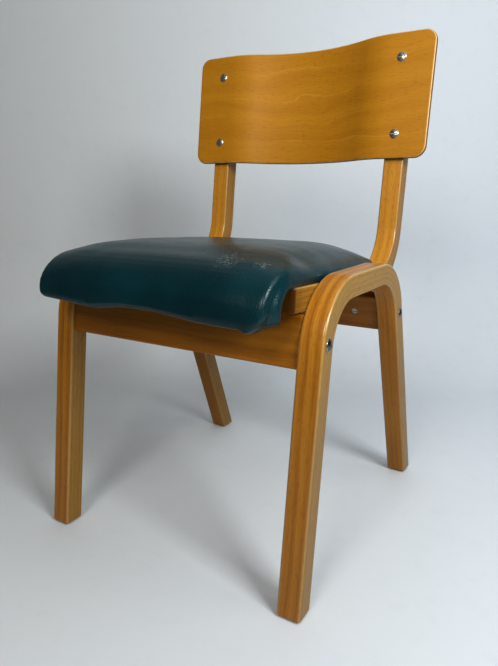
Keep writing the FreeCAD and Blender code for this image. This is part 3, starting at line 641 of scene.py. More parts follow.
@dataclass(frozen=True)
class BentBeech:
    """Bent-laminated beech: amber veneer on the broad faces, leaf edges at the sides."""

    leaf: float = 1.6 * MM
    light: Colour = (0.49, 0.215, 0.021)
    amber: Colour = (0.365, 0.140, 0.008)
    streak: Colour = (0.225, 0.075, 0.003)
    fleck: Colour = (0.13, 0.04, 0.004)
    edge_light: Colour = (0.34, 0.188, 0.036)
    edge_dark: Colour = (0.275, 0.140, 0.022)
    glue: Colour = (0.13, 0.06, 0.012)
    vessel: Colour = (0.14, 0.065, 0.012)
    # Pale arris colour: partly rubbed wear, partly a painted highlight.
    rubbed_and_highlight: Colour = (0.66, 0.44, 0.18)
    # The next colour is painted shade: the wood darkens towards the floor between the two heights further
    # down.
    lower_shade: Colour = (0.14, 0.055, 0.004)
    # End-grain colour, with its strength on the next line; near a bar's start it also paints the shade under
    # the seat's nose.
    end_grain: Colour = (0.09, 0.032, 0.002)
    end_grain_and_shade: float = 0.0
    # Heights of that painted shade: gone above the first, full below the second.
    unshaded_above: float = 0.42
    darkest_below: float = 0.20
    lacquer: Lacquer = field(default_factory=Lacquer)

    def material(self, name: str, half_width: float) -> bpy.types.Material:
        """Make the material.

        Args:
            name: The material's name.
            half_width: From a bar's middle to its side faces.

        Returns:
            The material, which reads the attributes along, across and depth.
        """
        s = Shader(name)
        along, across, depth = (s.attribute(label) for label in ("along", "across", "depth"))
        leaves = depth / self.leaf
        leaf = leaves.floor()
        leaf_chance = s.chance(leaf + 0.5)
        cloud = s.noise(s.vector(across * 20.0, along * 7.0, leaf * 0.3))
        broad, fibre, flecks = self._broad_face(s, along, across, leaf, leaf_chance, cloud)
        side, glue = self._side_face(s, along, across, depth, leaves, leaf_chance)
        at_side = abs(across).between(half_width - 3.6 * MM, half_width - 0.8 * MM)
        colour = s.mix(at_side, broad, side)
        wear = s.noise(s.vector(across * 260.0, along * 110.0, depth * 260.0)).between(0.66, 0.72)
        # Paler along the arris: partly rubbed wear, partly a painted highlight where the lacquer catches the
        # light.
        on_arris = at_side * (1.0 - abs(across).between(half_width - 1.0 * MM, half_width - 0.1 * MM))
        colour = s.mix(on_arris * (wear * 0.5 + 0.25), colour, self.rubbed_and_highlight)
        # Painted shade: the wood darkens towards the floor, as the light falls off down the legs.
        low = 1.0 - s.parts(s.position())[2].between(self.darkest_below, self.unshaded_above)
        colour = s.mix(low * 0.36, colour, self.lower_shade)
        # Darker at a bar's start, partly end grain and partly painted shade under the seat's nose: strongest
        # on the end face, fading over the first 40 mm.
        end_face = 1.0 - along.between(0.5 * MM, 3.0 * MM)
        shade_near_end = 1.0 - along.between(0.0, 40.0 * MM)
        colour = s.mix((end_face * 0.5 + shade_near_end * 0.5) * self.end_grain_and_shade, colour, self.end_grain)
        rough = self.lacquer.roughness + (cloud - 0.5) * 0.12 + wear * 0.1
        pores = s.bump(fibre * 0.6 + flecks * -0.9 + glue * at_side * -0.5, 0.06 * MM, 0.5)
        rounded = abs(across).between(half_width - 6.0 * MM, half_width - 3.0 * MM)
        rounded = rounded * (1.0 - abs(across).between(half_width - 1.5 * MM, half_width))
        return s.surface(Base_Color=colour, Roughness=rough, Normal=pores,
                         Coat_Weight=self.lacquer.coat + rounded * 0.75,
                         Coat_Roughness=self.lacquer.coat_roughness,
                         Specular_IOR_Level=self.lacquer.specular)

    def _broad_face(self, s: Shader, along: Wire, across: Wire, leaf: Wire, leaf_chance: Wire,
                    cloud: Wire) -> tuple[Wire, Wire, Wire]:
        """Draw the veneer's long figure.

        Args:
            s: The material's shader.
            along: Distance along the bar.
            across: Distance from its middle.
            leaf: The leaf's number.
            leaf_chance: A random number for each leaf.
            cloud: Slow unevenness.

        Returns:
            The colour, the fibres and the dark flecks.
        """
        waver = s.noise(s.vector(across * 9.0, along * 3.2, leaf * 1.7))
        lane = across + (waver - 0.5) * 0.016 + leaf_chance * 0.4
        figure = s.noise(s.vector(lane * 120.0, along * 1.6, leaf * 3.1), detail=4.0, rough=0.6)
        fibre = s.noise(s.vector(lane * 1100.0, along * 22.0, leaf))
        tone = figure * 0.62 + fibre * 0.2 + cloud * 0.24
        colour = s.ramp(tone, (0.37, self.streak), (0.49, self.amber), (0.64, self.light))
        ring = (lane * 210.0 + cloud * 1.4).fraction()
        ring_line = ring.between(0.80, 0.97) * figure.between(0.42, 0.56)
        colour = s.mix(ring_line * 0.26, colour, self.streak)
        flecks = s.noise(s.vector(across * 620.0, along * 85.0, leaf * 7.0)).between(0.575, 0.68)
        return s.mix(flecks * 0.38, colour, self.fleck), fibre, flecks

    def _side_face(self, s: Shader, along: Wire, across: Wire, depth: Wire, leaves: Wire,
                   leaf_chance: Wire) -> tuple[Wire, Wire]:
        """Draw the leaves' edges.

        Args:
            s: The material's shader.
            along: Distance along the bar.
            across: Distance from its middle.
            depth: Distance through the leaves.
            leaves: The same distance, counted in leaves.
            leaf_chance: A random number for each leaf.

        Returns:
            The colour and the glue lines.
        """
        streaks = s.noise(s.vector(leaves.floor() * 9.3, along * 30.0, across * 60.0))
        edge_tone = leaf_chance * 0.5 + streaks * 0.6
        colour = s.mix(edge_tone.between(0.2, 0.85), self.edge_dark, self.edge_light)
        glue = abs(leaves.fraction() - 0.5).between(0.44, 0.5)
        colour = s.mix(glue * leaf_chance * 0.28, colour, self.glue)
        vessels = s.noise(s.vector(across * 600.0, along * 80.0, depth * 900.0), detail=1.0)
        return s.mix(vessels.between(0.58, 0.68) * 0.4, colour, self.vessel), glue


@dataclass(frozen=True)
class RailBeech:
    """Solid beech with its grain along X."""

    light: Colour = (0.35, 0.135, 0.009)
    dark: Colour = (0.20, 0.068, 0.003)
    lacquer: Lacquer = field(default_factory=Lacquer)

    def material(self, name: str, tint: float = 1.0) -> bpy.types.Material:
        """Make the material.

        Args:
            name: The material's name.
            tint: Over 1 lightens the wood, and under 1 darkens it.

        Returns:
            The material, on Object coordinates.
        """
        s = Shader(name)
        x, y, z = s.parts(s.position())
        waver = s.noise(s.vector(x * 2.6, y * 14.0, z * 9.0))
        lane_z = z + (waver - 0.5) * 0.03
        figure = s.noise(s.vector(x * 2.2, y * 90.0, lane_z * 70.0), detail=3.0, rough=0.55)
        fibre = s.noise(s.vector(x * 26.0, y * 900.0, lane_z * 900.0))
        ray = s.noise(s.vector(x * 150.0, y * 500.0, z * 1500.0), detail=1.0).between(0.66, 0.74)
        tone = figure * 0.7 + fibre * 0.3
        light, dark = shaded(self.light, tint), shaded(self.dark, tint)
        colour = s.ramp(tone, (0.34, dark), (0.64, light))
        colour = s.mix(ray * 0.4, colour, shaded(dark, 0.45))
        return s.surface(Base_Color=colour, Roughness=self.lacquer.roughness + (figure - 0.5) * 0.14,
                         Normal=s.bump(fibre * 0.6 - ray * 0.8, 0.05 * MM, 0.5),
                         Coat_Weight=self.lacquer.coat * 0.7,
                         Coat_Roughness=self.lacquer.coat_roughness * 1.4,
                         Specular_IOR_Level=self.lacquer.specular)


@dataclass(frozen=True)
class FacedPly:
    """Moulded plywood faced with flat-cut beech whose figure runs across the chair."""

    thickness: float
    light: Colour = (0.51, 0.226, 0.011)
    deep: Colour = (0.385, 0.155, 0.004)
    line: Colour = (0.66, 0.35, 0.06)
    pore: Colour = (0.16, 0.055, 0.003)
    # Pale edge colour: partly rubbed wear, partly a painted highlight.
    rubbed_and_highlight: Colour = (0.80, 0.58, 0.26)
    rim_light: Colour = (0.24, 0.11, 0.022)
    rim_dark: Colour = (0.10, 0.04, 0.008)
    seam: Colour = (0.07, 0.03, 0.01)
    ply: float = 2.0 * MM
    lacquer: Lacquer = field(default_factory=Lacquer)

    def material(self, name: str) -> bpy.types.Material:
        """Make the material.

        Args:
            name: The material's name.

        Returns:
            The material, which reads the attributes across, along and height.
        """
        s = Shader(name)
        across, rise, height = (s.attribute(label) for label in ("across", "along", "height"))
        layer = (height / self.ply).floor()
        swell = s.noise(s.vector(across * 4.2, rise * 9.0, layer * 2.3), detail=3.0)
        drift = s.noise(s.vector(across * 14.0, rise * 26.0, layer * 2.3), detail=3.0)
        lane = rise + (swell - 0.5) * 0.085 + (drift - 0.5) * 0.012
        figure = s.noise(s.vector(across * 1.6, lane * 48.0, layer), detail=4.0, rough=0.6)
        fibre = s.noise(s.vector(across * 24.0, lane * 900.0, layer))
        pore = s.noise(s.vector(across * 75.0, rise * 720.0, layer)).between(0.57, 0.70)
        tone = figure * 0.6 + fibre * 0.2 + swell * 0.2
        colour = s.ramp(tone, (0.30, self.deep), (0.70, self.light))
        ring = (lane * 23.0).fraction()
        present = s.noise(s.vector(across * 7.0, rise * 9.0, layer * 5.1)).between(0.47, 0.60)
        ring_line = ring.between(0.93, 0.985) * (1.0 - ring.between(0.985, 1.0)) * present
        colour = s.mix(ring_line * 0.30, colour, self.line)
        colour = s.mix(pore * 0.36, colour, self.pore)
        # Paler along the front face's rounded edge: partly rubbed wear, partly a painted highlight.
        edge = height.between(self.thickness - 0.1 * MM, self.thickness - 0.8 * MM)
        edge = edge * height.between(self.thickness - 3.0 * MM, self.thickness - 2.2 * MM)
        wear = s.noise(s.vector(across * 60.0, rise * 60.0, height * 200.0), detail=3.0).between(0.35, 0.6)
        colour = s.mix(edge * (wear * 0.35 + 0.2), colour, self.rubbed_and_highlight)
        rim = height.between(self.thickness - 0.9 * MM, self.thickness - 2.0 * MM)
        rim = rim * height.between(0.9 * MM, 2.0 * MM)
        seam = abs((height / self.ply).fraction() - 0.5).between(0.42, 0.5)
        colour = s.mix(rim, colour, self._rim(s, across, rise, height, layer, seam))
        bump = s.bump(fibre * 0.5 - pore - seam * rim * 1.2, 0.05 * MM, 0.5)
        return s.surface(Base_Color=colour, Roughness=self.lacquer.roughness + 0.08 + (swell - 0.5) * 0.1,
                         Normal=bump, Coat_Weight=self.lacquer.coat * 0.3 + edge * 0.8,
                         Coat_Roughness=self.lacquer.coat_roughness * 1.6,
                         Specular_IOR_Level=self.lacquer.specular)

    def _rim(self, s: Shader, across: Wire, rise: Wire, height: Wire, layer: Wire, seam: Wire) -> Wire:
        """Draw the plies at the panel's edge.

        Args:
            s: The material's shader.
            across: Distance from the panel's middle.
            rise: Distance up the panel.
            height: Distance through it.
            layer: The ply's number.
            seam: The glue lines.

        Returns:
            The colour.
        """
        turn = s.chance(layer + 0.5).between(0.3, 0.7)
        end_grain = s.noise(s.vector(across * 700.0, rise * 700.0, height * 300.0))
        colour = s.mix(turn * 0.6 + end_grain * 0.35, self.rim_light, self.rim_dark)
        return s.mix(seam * 0.55, colour, self.seam)


@dataclass(frozen=True)
class RawPly:
    """Unlacquered plywood, birch-coloured, for the seat board's underside."""

    face: Colour = (0.42, 0.30, 0.17)
    shade: Colour = (0.30, 0.20, 0.10)
    knot: Colour = (0.12, 0.06, 0.03)

    def material(self, name: str) -> bpy.types.Material:
        """Make the material.

        Args:
            name: The material's name.

        Returns:
            The material, on Object coordinates.
        """
        s = Shader(name)
        x, y, z = s.parts(s.position())
        drift = s.noise(s.vector(x * 5.0, y * 11.0, z * 5.0), detail=3.0)
        figure = s.noise(s.vector(x * 3.0, (y + drift * 0.04) * 90.0, z * 400.0), detail=3.0)
        knot = s.cells(s.vector(x * 0.7, y, z), 9.0).between(0.05, 0.012)
        colour = s.mix(figure.between(0.35, 0.65), self.shade, self.face)
        colour = s.mix(knot * 0.8, colour, self.knot)
        return s.surface(Base_Color=colour, Roughness=0.72 + (figure - 0.5) * 0.2,
                         Normal=s.bump(figure, 0.12 * MM, 0.6))


@dataclass(frozen=True)
class Scuff:
    """A patch of pale scratches on the seat, seen in plan."""

    x: float
    y: float
    reach: float


@dataclass(frozen=True)
class Vinyl:
    """Dark green-blue upholstery vinyl with a fine leather grain."""

    base: Colour = (0.0003, 0.0185, 0.023)
    worn: Colour = (0.0014, 0.038, 0.045)
    scuff: Colour = (0.42, 0.45, 0.42)
    roughness: float = 0.31
    specular: float = 0.36

    def material(self, name: str, scuffs: Sequence[Scuff]) -> bpy.types.Material:
        """Make the material.

        Args:
            name: The material's name.
            scuffs: The patches of scratches.

        Returns:
            The material, on Object coordinates.
        """
        s = Shader(name)
        place = s.position()
        x, y, z = s.parts(place)
        pebble = s.cells(place, 560.0, "SMOOTH_F1")
        crease = s.noise(place, 330.0, detail=4.0, rough=0.6)
        broad = s.noise(place, 11.0, detail=3.0)
        smear = s.noise(s.vector(x * 14.0, y * 46.0, z * 30.0), detail=3.0)
        colour = s.mix(broad.between(0.3, 0.75) * 0.6, self.base, self.worn)
        marks: Operand = 0.0
        for scuffed in scuffs:
            near = s.vector((x - scuffed.x) / scuffed.reach, (y - scuffed.y) / scuffed.reach, 0.0)
            length = s.add("ShaderNodeVectorMath", {"operation": "LENGTH"}, {0: near}, "Value")
            marks = length.between(1.0, 0.35) + marks
        scratch = s.noise(s.vector((x + y * 0.6) * 130.0, (y - x * 0.6) * 620.0, 0.0), rough=0.6)
        patch = s.noise(s.vector(x * 90.0, y * 90.0, 3.0))
        mark = marks * scratch.between(0.59, 0.65) * patch.between(0.42, 0.50)
        colour = s.mix(mark * 0.9, colour, self.scuff)
        rough = self.roughness + (smear - 0.5) * 0.16 + (broad - 0.5) * 0.1 + mark * 0.25
        grain = pebble * 0.75 + crease * 0.6
        return s.surface(Base_Color=colour, Roughness=rough, Normal=s.bump(grain, 0.42 * MM, 0.75),
                         Specular_IOR_Level=self.specular)


class MetalTone(Enum):
    """The platings on the fixings; the leg bolts have dulled to bronze."""

    NICKEL = (0.62, 0.57, 0.48)
    BRONZED = (0.20, 0.18, 0.15)
    ZINC = (0.40, 0.40, 0.38)


@dataclass(frozen=True)
class Plating:
    """Bright plated steel with faint rubbing and tarnish."""

    tone: MetalTone
    roughness: float = 0.27
    # Bright rim: partly rubbed wear, partly a painted highlight.
    rim_wear_and_highlight: float = 0.0
    tarnish: float = 0.45

    def material(self, name: str) -> bpy.types.Material:
        """Make the material.

        Args:
            name: The material's name.

        Returns:
            The material, on Object coordinates; the rim is bright where a head's face turns away from X,
            partly wear and partly a painted highlight.
        """
        s = Shader(name)
        place = s.position()
        rub = s.noise(place, 900.0, detail=3.0, rough=0.7)
        stain = s.noise(place, 190.0, detail=3.0).between(0.5, 0.72)
        colour = s.mix(stain * 0.75, self.tone.value, shaded(self.tone.value, self.tarnish))
        facing = s.parts(s.add("ShaderNodeNewGeometry", output="Normal"))[0]
        # Bright rim: partly rubbed wear, partly a painted highlight on the rounded edge.
        rim = 1.0 - abs(facing).between(0.80, 0.97)
        colour = s.mix(rim * self.rim_wear_and_highlight, colour, MetalTone.NICKEL.value)
        rough = self.roughness + (rub - 0.5) * 0.3 + stain * 0.15
        return s.surface(Base_Color=colour, Metallic=1.0, Roughness=rough,
                         Normal=s.bump(rub, 0.03 * MM, 0.35))


@dataclass(frozen=True)
class Moulding:
    """Plain moulded plastic with a fine spark texture and floor scuffs."""

    colour: Colour = (0.50, 0.48, 0.44)
    dirt: Colour = (0.08, 0.07, 0.06)

    def material(self, name: str) -> bpy.types.Material:
        """Make the material.

        Args:
            name: The material's name.

        Returns:
            The material, on Object coordinates.
        """
        s = Shader(name)
        place = s.position()
        spark = s.noise(place, 1400.0)
        scuff = s.noise(place, 160.0, detail=4.0).between(0.52, 0.7)
        colour = s.mix(scuff * 0.6, self.colour, self.dirt)
        return s.surface(Base_Color=colour, Roughness=0.5 + (scuff - 0.5) * 0.2,
                         Normal=s.bump(spark, 0.05 * MM, 0.5))


@dataclass(frozen=True)
class Paper:
    """The studio's pale seamless paper, which is see-through from behind."""

    # The sheet's lit colour and its painted-shade colour.
    bright: Colour = (0.735, 0.77, 0.805)
    shaded_grey: Colour = (0.57, 0.575, 0.56)
    speck: Colour = (0.3, 0.3, 0.3)
    roughness: float = 0.62
    half_span: float = 1.1

    def material(self, name: str, across: Vector) -> bpy.types.Material:
        """Make the material on Object coordinates; painted shade greys the sheet away from one side.

        Args:
            name: The material's name.
            across: The direction along the sheet's width, towards its painted lit side.

        Returns:
            The material.
        """
        s = Shader(name)
        place = s.position()
        x, y, _ = s.parts(place)
        side = x * across.x + y * across.y
        cloud = s.noise(place, 1.1)
        smudge = s.noise(place, 26.0, detail=4.0, rough=0.6)
        speck = s.noise(place, 240.0).between(0.74, 0.80)
        # Painted shade across the sheet: the lit colour on one side, greying towards the other.
        painted_light = side.between(-self.half_span, self.half_span) + (cloud - 0.5) * 0.06
        colour = s.mix(painted_light, self.shaded_grey, self.bright)
        colour = s.mix(speck * 0.2 + smudge.between(0.5, 0.8) * 0.06, colour, self.speck)
        front = s.add("ShaderNodeBsdfPrincipled",
                      inputs={"Base Color": colour, "Roughness": self.roughness,
                              "Normal": s.bump(smudge, 0.3 * MM, 0.15)})
        behind = s.add("ShaderNodeBsdfTransparent")
        from_behind = s.add("ShaderNodeNewGeometry", output="Backfacing")
        both = s.add("ShaderNodeMixShader", inputs={0: from_behind, 1: front, 2: behind})
        s.add("ShaderNodeOutputMaterial", inputs={"Surface": both})
        return s.material


# ---- Shared lines of the chair --------------------------------------------------

def meet(point_a: Vector, along_a: Vector, point_b: Vector, along_b: Vector) -> Vector:
    """Where two lines of the side view cross."""
    across = Vector((0, -along_b.z, along_b.y))
    return point_a + along_a * ((point_b - point_a).dot(across) / along_a.dot(across))


def leaning(degrees: float) -> Vector:
    """The upward direction that leans towards the back by an angle."""
    return Vector((0, math.sin(math.radians(degrees)), math.cos(math.radians(degrees))))


def falling(degrees: float) -> Vector:
    """The backward direction that falls by an angle."""
    return Vector((0, math.cos(math.radians(degrees)), -math.sin(math.radians(degrees))))


@dataclass
class ChairLines:
    """Directions and points that the seat, the posts and the backrest share."""

    seat_slope: float = 2.5
    post_lean: float = 7.2
    post_depth: float = 32.0 * MM
    rail_length: float = 386.0 * MM
    rail_drop: float = 7.6 * MM

    def __post_init__(self) -> None:
        """Work the points out from the CAD boxes."""
        self.seat_back, self.seat_up = falling(self.seat_slope), leaning(self.seat_slope)
        self.post_up, self.post_back = leaning(self.post_lean), falling(self.post_lean)
        post_low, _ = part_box("left_back_post")
        _, leg_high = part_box("left_leg_frame")
        front_y = post_low.y + self.post_depth * self.seat_up.y
        self.seat_origin = Vector((0, front_y, leg_high.z - self.rail_drop))
        self.post_root = self.seat_origin + self.seat_back * self.rail_length

    def on_seat(self, x: float, back: float, up: float) -> Vector:
        """A point in the seat's own frame."""
        return self.seat_origin + Vector((x, 0, 0)) + self.seat_back * back + self.seat_up * up


def bar_recipe() -> Recipe:
    """Sweep a bar: fillet the guide, run the section along it and cut the ends level.

    Returns:
        The tree, which also keeps the leaf coordinates along, across and depth.
    """
    r = Recipe("bent_bar", {"Width": "NodeSocketFloat", "Depth": "NodeSocketFloat",
                            "Arris": "NodeSocketFloat", "Bend Steps": "NodeSocketInt",
                            "Arris Steps": "NodeSocketInt", "Floor": "NodeSocketFloat",
                            "Material": "NodeSocketMaterial"})
    floor, depth = r.start.out("Floor"), r.start.out("Depth")
    path = r.add("GeometryNodeMeshToCurve", inputs={"Mesh": r.start})
    radius = r.add("GeometryNodeInputNamedAttribute", {"data_type": "FLOAT"}, {"Name": "bend"})
    path = r.add("GeometryNodeFilletCurve", {"mode": "POLY"},
                 {"Curve": path, "Count": r.start.out("Bend Steps"), "Radius": radius, "Limit Radius": False})
    path = r.store(path, "along", r.add("GeometryNodeSplineParameter", output="Length"))
    ends = r.add("GeometryNodeCurveEndpointSelection", inputs={"Start Size": 1, "End Size": 1})
    path = r.store(path, "at_end", ends, "BOOLEAN")
    path = r.store(path, "heading", r.add("GeometryNodeInputTangent"), "FLOAT_VECTOR")
    section = r.add("GeometryNodeCurvePrimitiveQuadrilateral", {"mode": "RECTANGLE"},
                    {"Width": r.start.out("Width"), "Height": depth})
    section = r.add("GeometryNodeFilletCurve", {"mode": "POLY"},
                    {"Curve": section, "Count": r.start.out("Arris Steps"), "Radius": r.start.out("Arris"),
                     "Limit Radius": False})
    place = r.add("ShaderNodeSeparateXYZ", inputs={0: r.add("GeometryNodeInputPosition")})
    section = r.store(section, "across", place)
    section = r.store(section, "depth", place.out("Y") + depth / 2.0)
    bar = r.add("GeometryNodeCurveToMesh",
                inputs={"Curve": path, "Profile Curve": section, "Fill Caps": True})
    heading = r.add("GeometryNodeInputNamedAttribute", {"data_type": "FLOAT_VECTOR"}, {"Name": "heading"})
    here_z = r.add("ShaderNodeSeparateXYZ", inputs={0: r.add("GeometryNodeInputPosition")}).out("Z")
    heading_z = r.add("ShaderNodeSeparateXYZ", inputs={0: heading}).out("Z")
    travel = (floor - here_z) / heading_z
    moved = r.add("ShaderNodeVectorMath", {"operation": "SCALE"}, {0: heading, "Scale": travel})
    at_end = r.add("GeometryNodeInputNamedAttribute", {"data_type": "BOOLEAN"}, {"Name": "at_end"})
    cut_level = floor.maths("GREATER_THAN", floor, SQUARE_ENDS)
    choice = r.add("FunctionNodeBooleanMath", {"operation": "AND"}, {0: at_end, 1: cut_level})
    bar = r.add("GeometryNodeSetPosition", inputs={"Geometry": bar, "Selection": choice, "Offset": moved})
    r.close(r.add("GeometryNodeSetShadeSmooth", inputs={0: bar}))
    return r


@dataclass
class BentBar:
    """A bar bent from leaves, swept along a path in the side view by Geometry Nodes."""

    width: float
    depth: float
    arris: float
    bend_steps: int = 22
    arris_steps: int = 5

    def make(self, recipe: Recipe, name: str, points: list[Vector], bends: list[float], floor: float,
             material: bpy.types.Material) -> bpy.types.Object:
        """Sweep one bar.

        Args:
            recipe: The tree from bar_recipe().
            name: The piece's name.
            points: The corners of the bar's middle line.
            bends: The middle line's radius at each inner corner.
            floor: Height at which both ends are cut level, or SQUARE_ENDS.
            material: The bar's finish.

        Returns:
            The finished piece.
        """
        guide = bpy.data.meshes.new(name + "_guide")
        guide.from_pydata([tuple(p) for p in points], [(i, i + 1) for i in range(len(points) - 1)], [])
        guide.attributes.new("bend", "FLOAT", "POINT").data.foreach_set("value", [0.0, *bends, 0.0])
        return recipe.bake(name, guide, {
            "Width": self.width, "Depth": self.depth, "Arris": self.arris, "Bend Steps": self.bend_steps,
            "Arris Steps": self.arris_steps, "Floor": floor, "Material": material})


# ---- Sub-assemblies -------------------------------------------------------------

@dataclass
class LegFrames:
    """Both leg frames: upside-down U shapes bent from beech leaves."""

    width: float = 35.0 * MM
    depth: float = 32.5 * MM
    arris: float = 4.0 * MM
    foot_ease: float = 2.6 * MM
    ease_steps: int = 3
    front_lean: float = 7.1
    rear_lean: float = 20.9
    front_bend: float = 98.0 * MM
    rear_bend: float = 115.0 * MM

    def middle_line(self, side: str) -> list[Vector]:
        """Find the corners of a frame's middle line.

        Args:
            side: "left" or "right".

        Returns:
            The corners, front foot to rear foot.
        """
        low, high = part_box(side + "_leg_frame")
        x = (low.x + high.x) / 2
        inset = self.depth / 2
        front_up, rear_up = leaning(self.front_lean), leaning(-self.rear_lean)
        level = Vector((0, 1, 0))
        front = Vector((x, low.y + inset / front_up.z, low.z))
        rear = Vector((x, high.y - inset / rear_up.z, low.z))
        top = Vector((x, 0, high.z - inset))
        return [front, meet(front, front_up, top, level), meet(rear, rear_up, top, level), rear]

    def build(self, recipe: Recipe, finish: BentBeech) -> None:
        """Sweep both frames and let them stand for their CAD nodes.

        Args:
            recipe: The tree that sweeps a bar.
            finish: Their wood.
        """
        bar = BentBar(self.width, self.depth, self.arris)
        bends = [self.front_bend - self.depth / 2, self.rear_bend - self.depth / 2]
        for side in SIDES:
            material = finish.material(side + "_frame_beech", self.width / 2)
            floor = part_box(side + "_leg_frame")[0].z
            piece = bar.make(recipe, side + "_frame_wood", self.middle_line(side), bends, floor, material)
            piece = eased(piece, self.foot_ease, self.ease_steps)
            finish_piece(piece, "beech_lamination", side + "_leg_frame")


@dataclass
class BackPosts:
    """Both back posts, each in one bent piece with its seat rail."""

    lines: ChairLines
    width: float = 35.0 * MM
    arris: float = 3.0 * MM
    end_ease: float = 0.9 * MM
    ease_steps: int = 3
    inner_bend: float = 78.0 * MM

    def middle_line(self, side: str) -> list[Vector]:
        """Find the corners of a post's middle line.

        Args:
            side: "left" or "right".

        Returns:
            The corners, from the seat rail's front end to the top.
        """
        low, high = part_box(side + "_back_post")
        x = Vector(((low.x + high.x) / 2, 0, 0))
        half = self.lines.post_depth / 2
        start = self.lines.seat_origin + x - self.lines.seat_up * half
        upright = self.lines.post_root + x + self.lines.post_back * half
        corner = meet(start, self.lines.seat_back, upright, self.lines.post_up)
        top_z = high.z - half * self.lines.post_up.y
        top = corner + self.lines.post_up * ((top_z - corner.z) / self.lines.post_up.z)
        return [start, corner, top]

    def build(self, recipe: Recipe, finish: BentBeech) -> None:
        """Sweep both posts and let them stand for their CAD nodes.

        Args:
            recipe: The tree that sweeps a bar.
            finish: Their wood.
        """
        bar = BentBar(self.width, self.lines.post_depth, self.arris)
        bends = [self.inner_bend + self.lines.post_depth / 2]
        for side in SIDES:
            material = finish.material(side + "_post_beech", self.width / 2)
            piece = bar.make(recipe, side + "_post_wood", self.middle_line(side), bends, SQUARE_ENDS,
                             material)
            piece = eased(piece, self.end_ease, self.ease_steps)
            finish_piece(piece, "beech_lamination", side + "_back_post")


@dataclass
class Backrest:
    """The moulded plywood panel, hollow between the posts."""

    lines: ChairLines
    width: float = 471.0 * MM
    height: float = 206.5 * MM
    thickness: float = 10.0 * MM
    rise: float = 187.5 * MM
    hollow: float = 30.0 * MM
    half_span: float = 161.0 * MM
    middle_share: float = 2 / 3
    corner: float = 20.0 * MM
    arris: float = 3.5 * MM
    columns: int = 64
    rows: int = 20
    corner_steps: int = 8

    def __post_init__(self) -> None:
        """Work out the hollow's three tangent arcs."""
        self.turn = 2 * math.atan(self.hollow / self.half_span)
        radii = self.half_span / math.sin(self.turn)
        self.middle_radius, self.end_radius = radii * self.middle_share, radii * (1 - self.middle_share)

    def moulding(self, x: float) -> tuple[float, float]:
        """Read the mould at a place.

        Args:
            x: The place across.

        Returns:
            How far the front face lies back there, and its slope in radians.
        """
        reach = abs(x)
        if reach >= self.half_span:
            return 0.0, 0.0
        join = self.middle_radius * math.sin(self.turn)
        if reach <= join:
            angle = math.asin(reach / self.middle_radius)
            return self.hollow - self.middle_radius * (1 - math.cos(angle)), angle
        angle = math.asin((self.half_span - reach) / self.end_radius)
        return self.end_radius * (1 - math.cos(angle)), angle

    def place(self, x: float, along: float, height: float) -> Vector:
        """Lay a point of the flat blank on the mould.

        Args:
            x: The place across.
            along: The distance up the blank.
            height: The distance from its rear face.

        Returns:
            The point.
        """
        back, angle = self.moulding(x)
        depth = self.thickness - height
        side = math.copysign(1.0, x)
        front = self.lines.post_root - self.lines.post_back * self.thickness
        shift = x + side * math.sin(angle) * depth
        behind = back + math.cos(angle) * depth
        return (front + Vector((shift, 0, 0)) + self.lines.post_back * behind
                + self.lines.post_up * (self.rise + along))

    def build(self, finish: FacedPly) -> None:
        """Mould the panel and let it stand for its CAD node.

        Args:
            finish: Its wood.
        """
        rim = rounded_rim(self.thickness, self.arris, self.arris)
        slab = RoundedSlab(self.width, self.height, self.corner, self.corner, rim,
                           self.columns, self.rows, self.corner_steps)
        mesh = slab.mesh("backrest_wood", self.place, lambda x, along: 0.0)
        piece = evenly_shaded(new_object("backrest_wood", mesh))
        piece.data.materials.append(finish.material("backrest_ply"))
        finish_piece(piece, "beech_plywood", "backrest_panel")


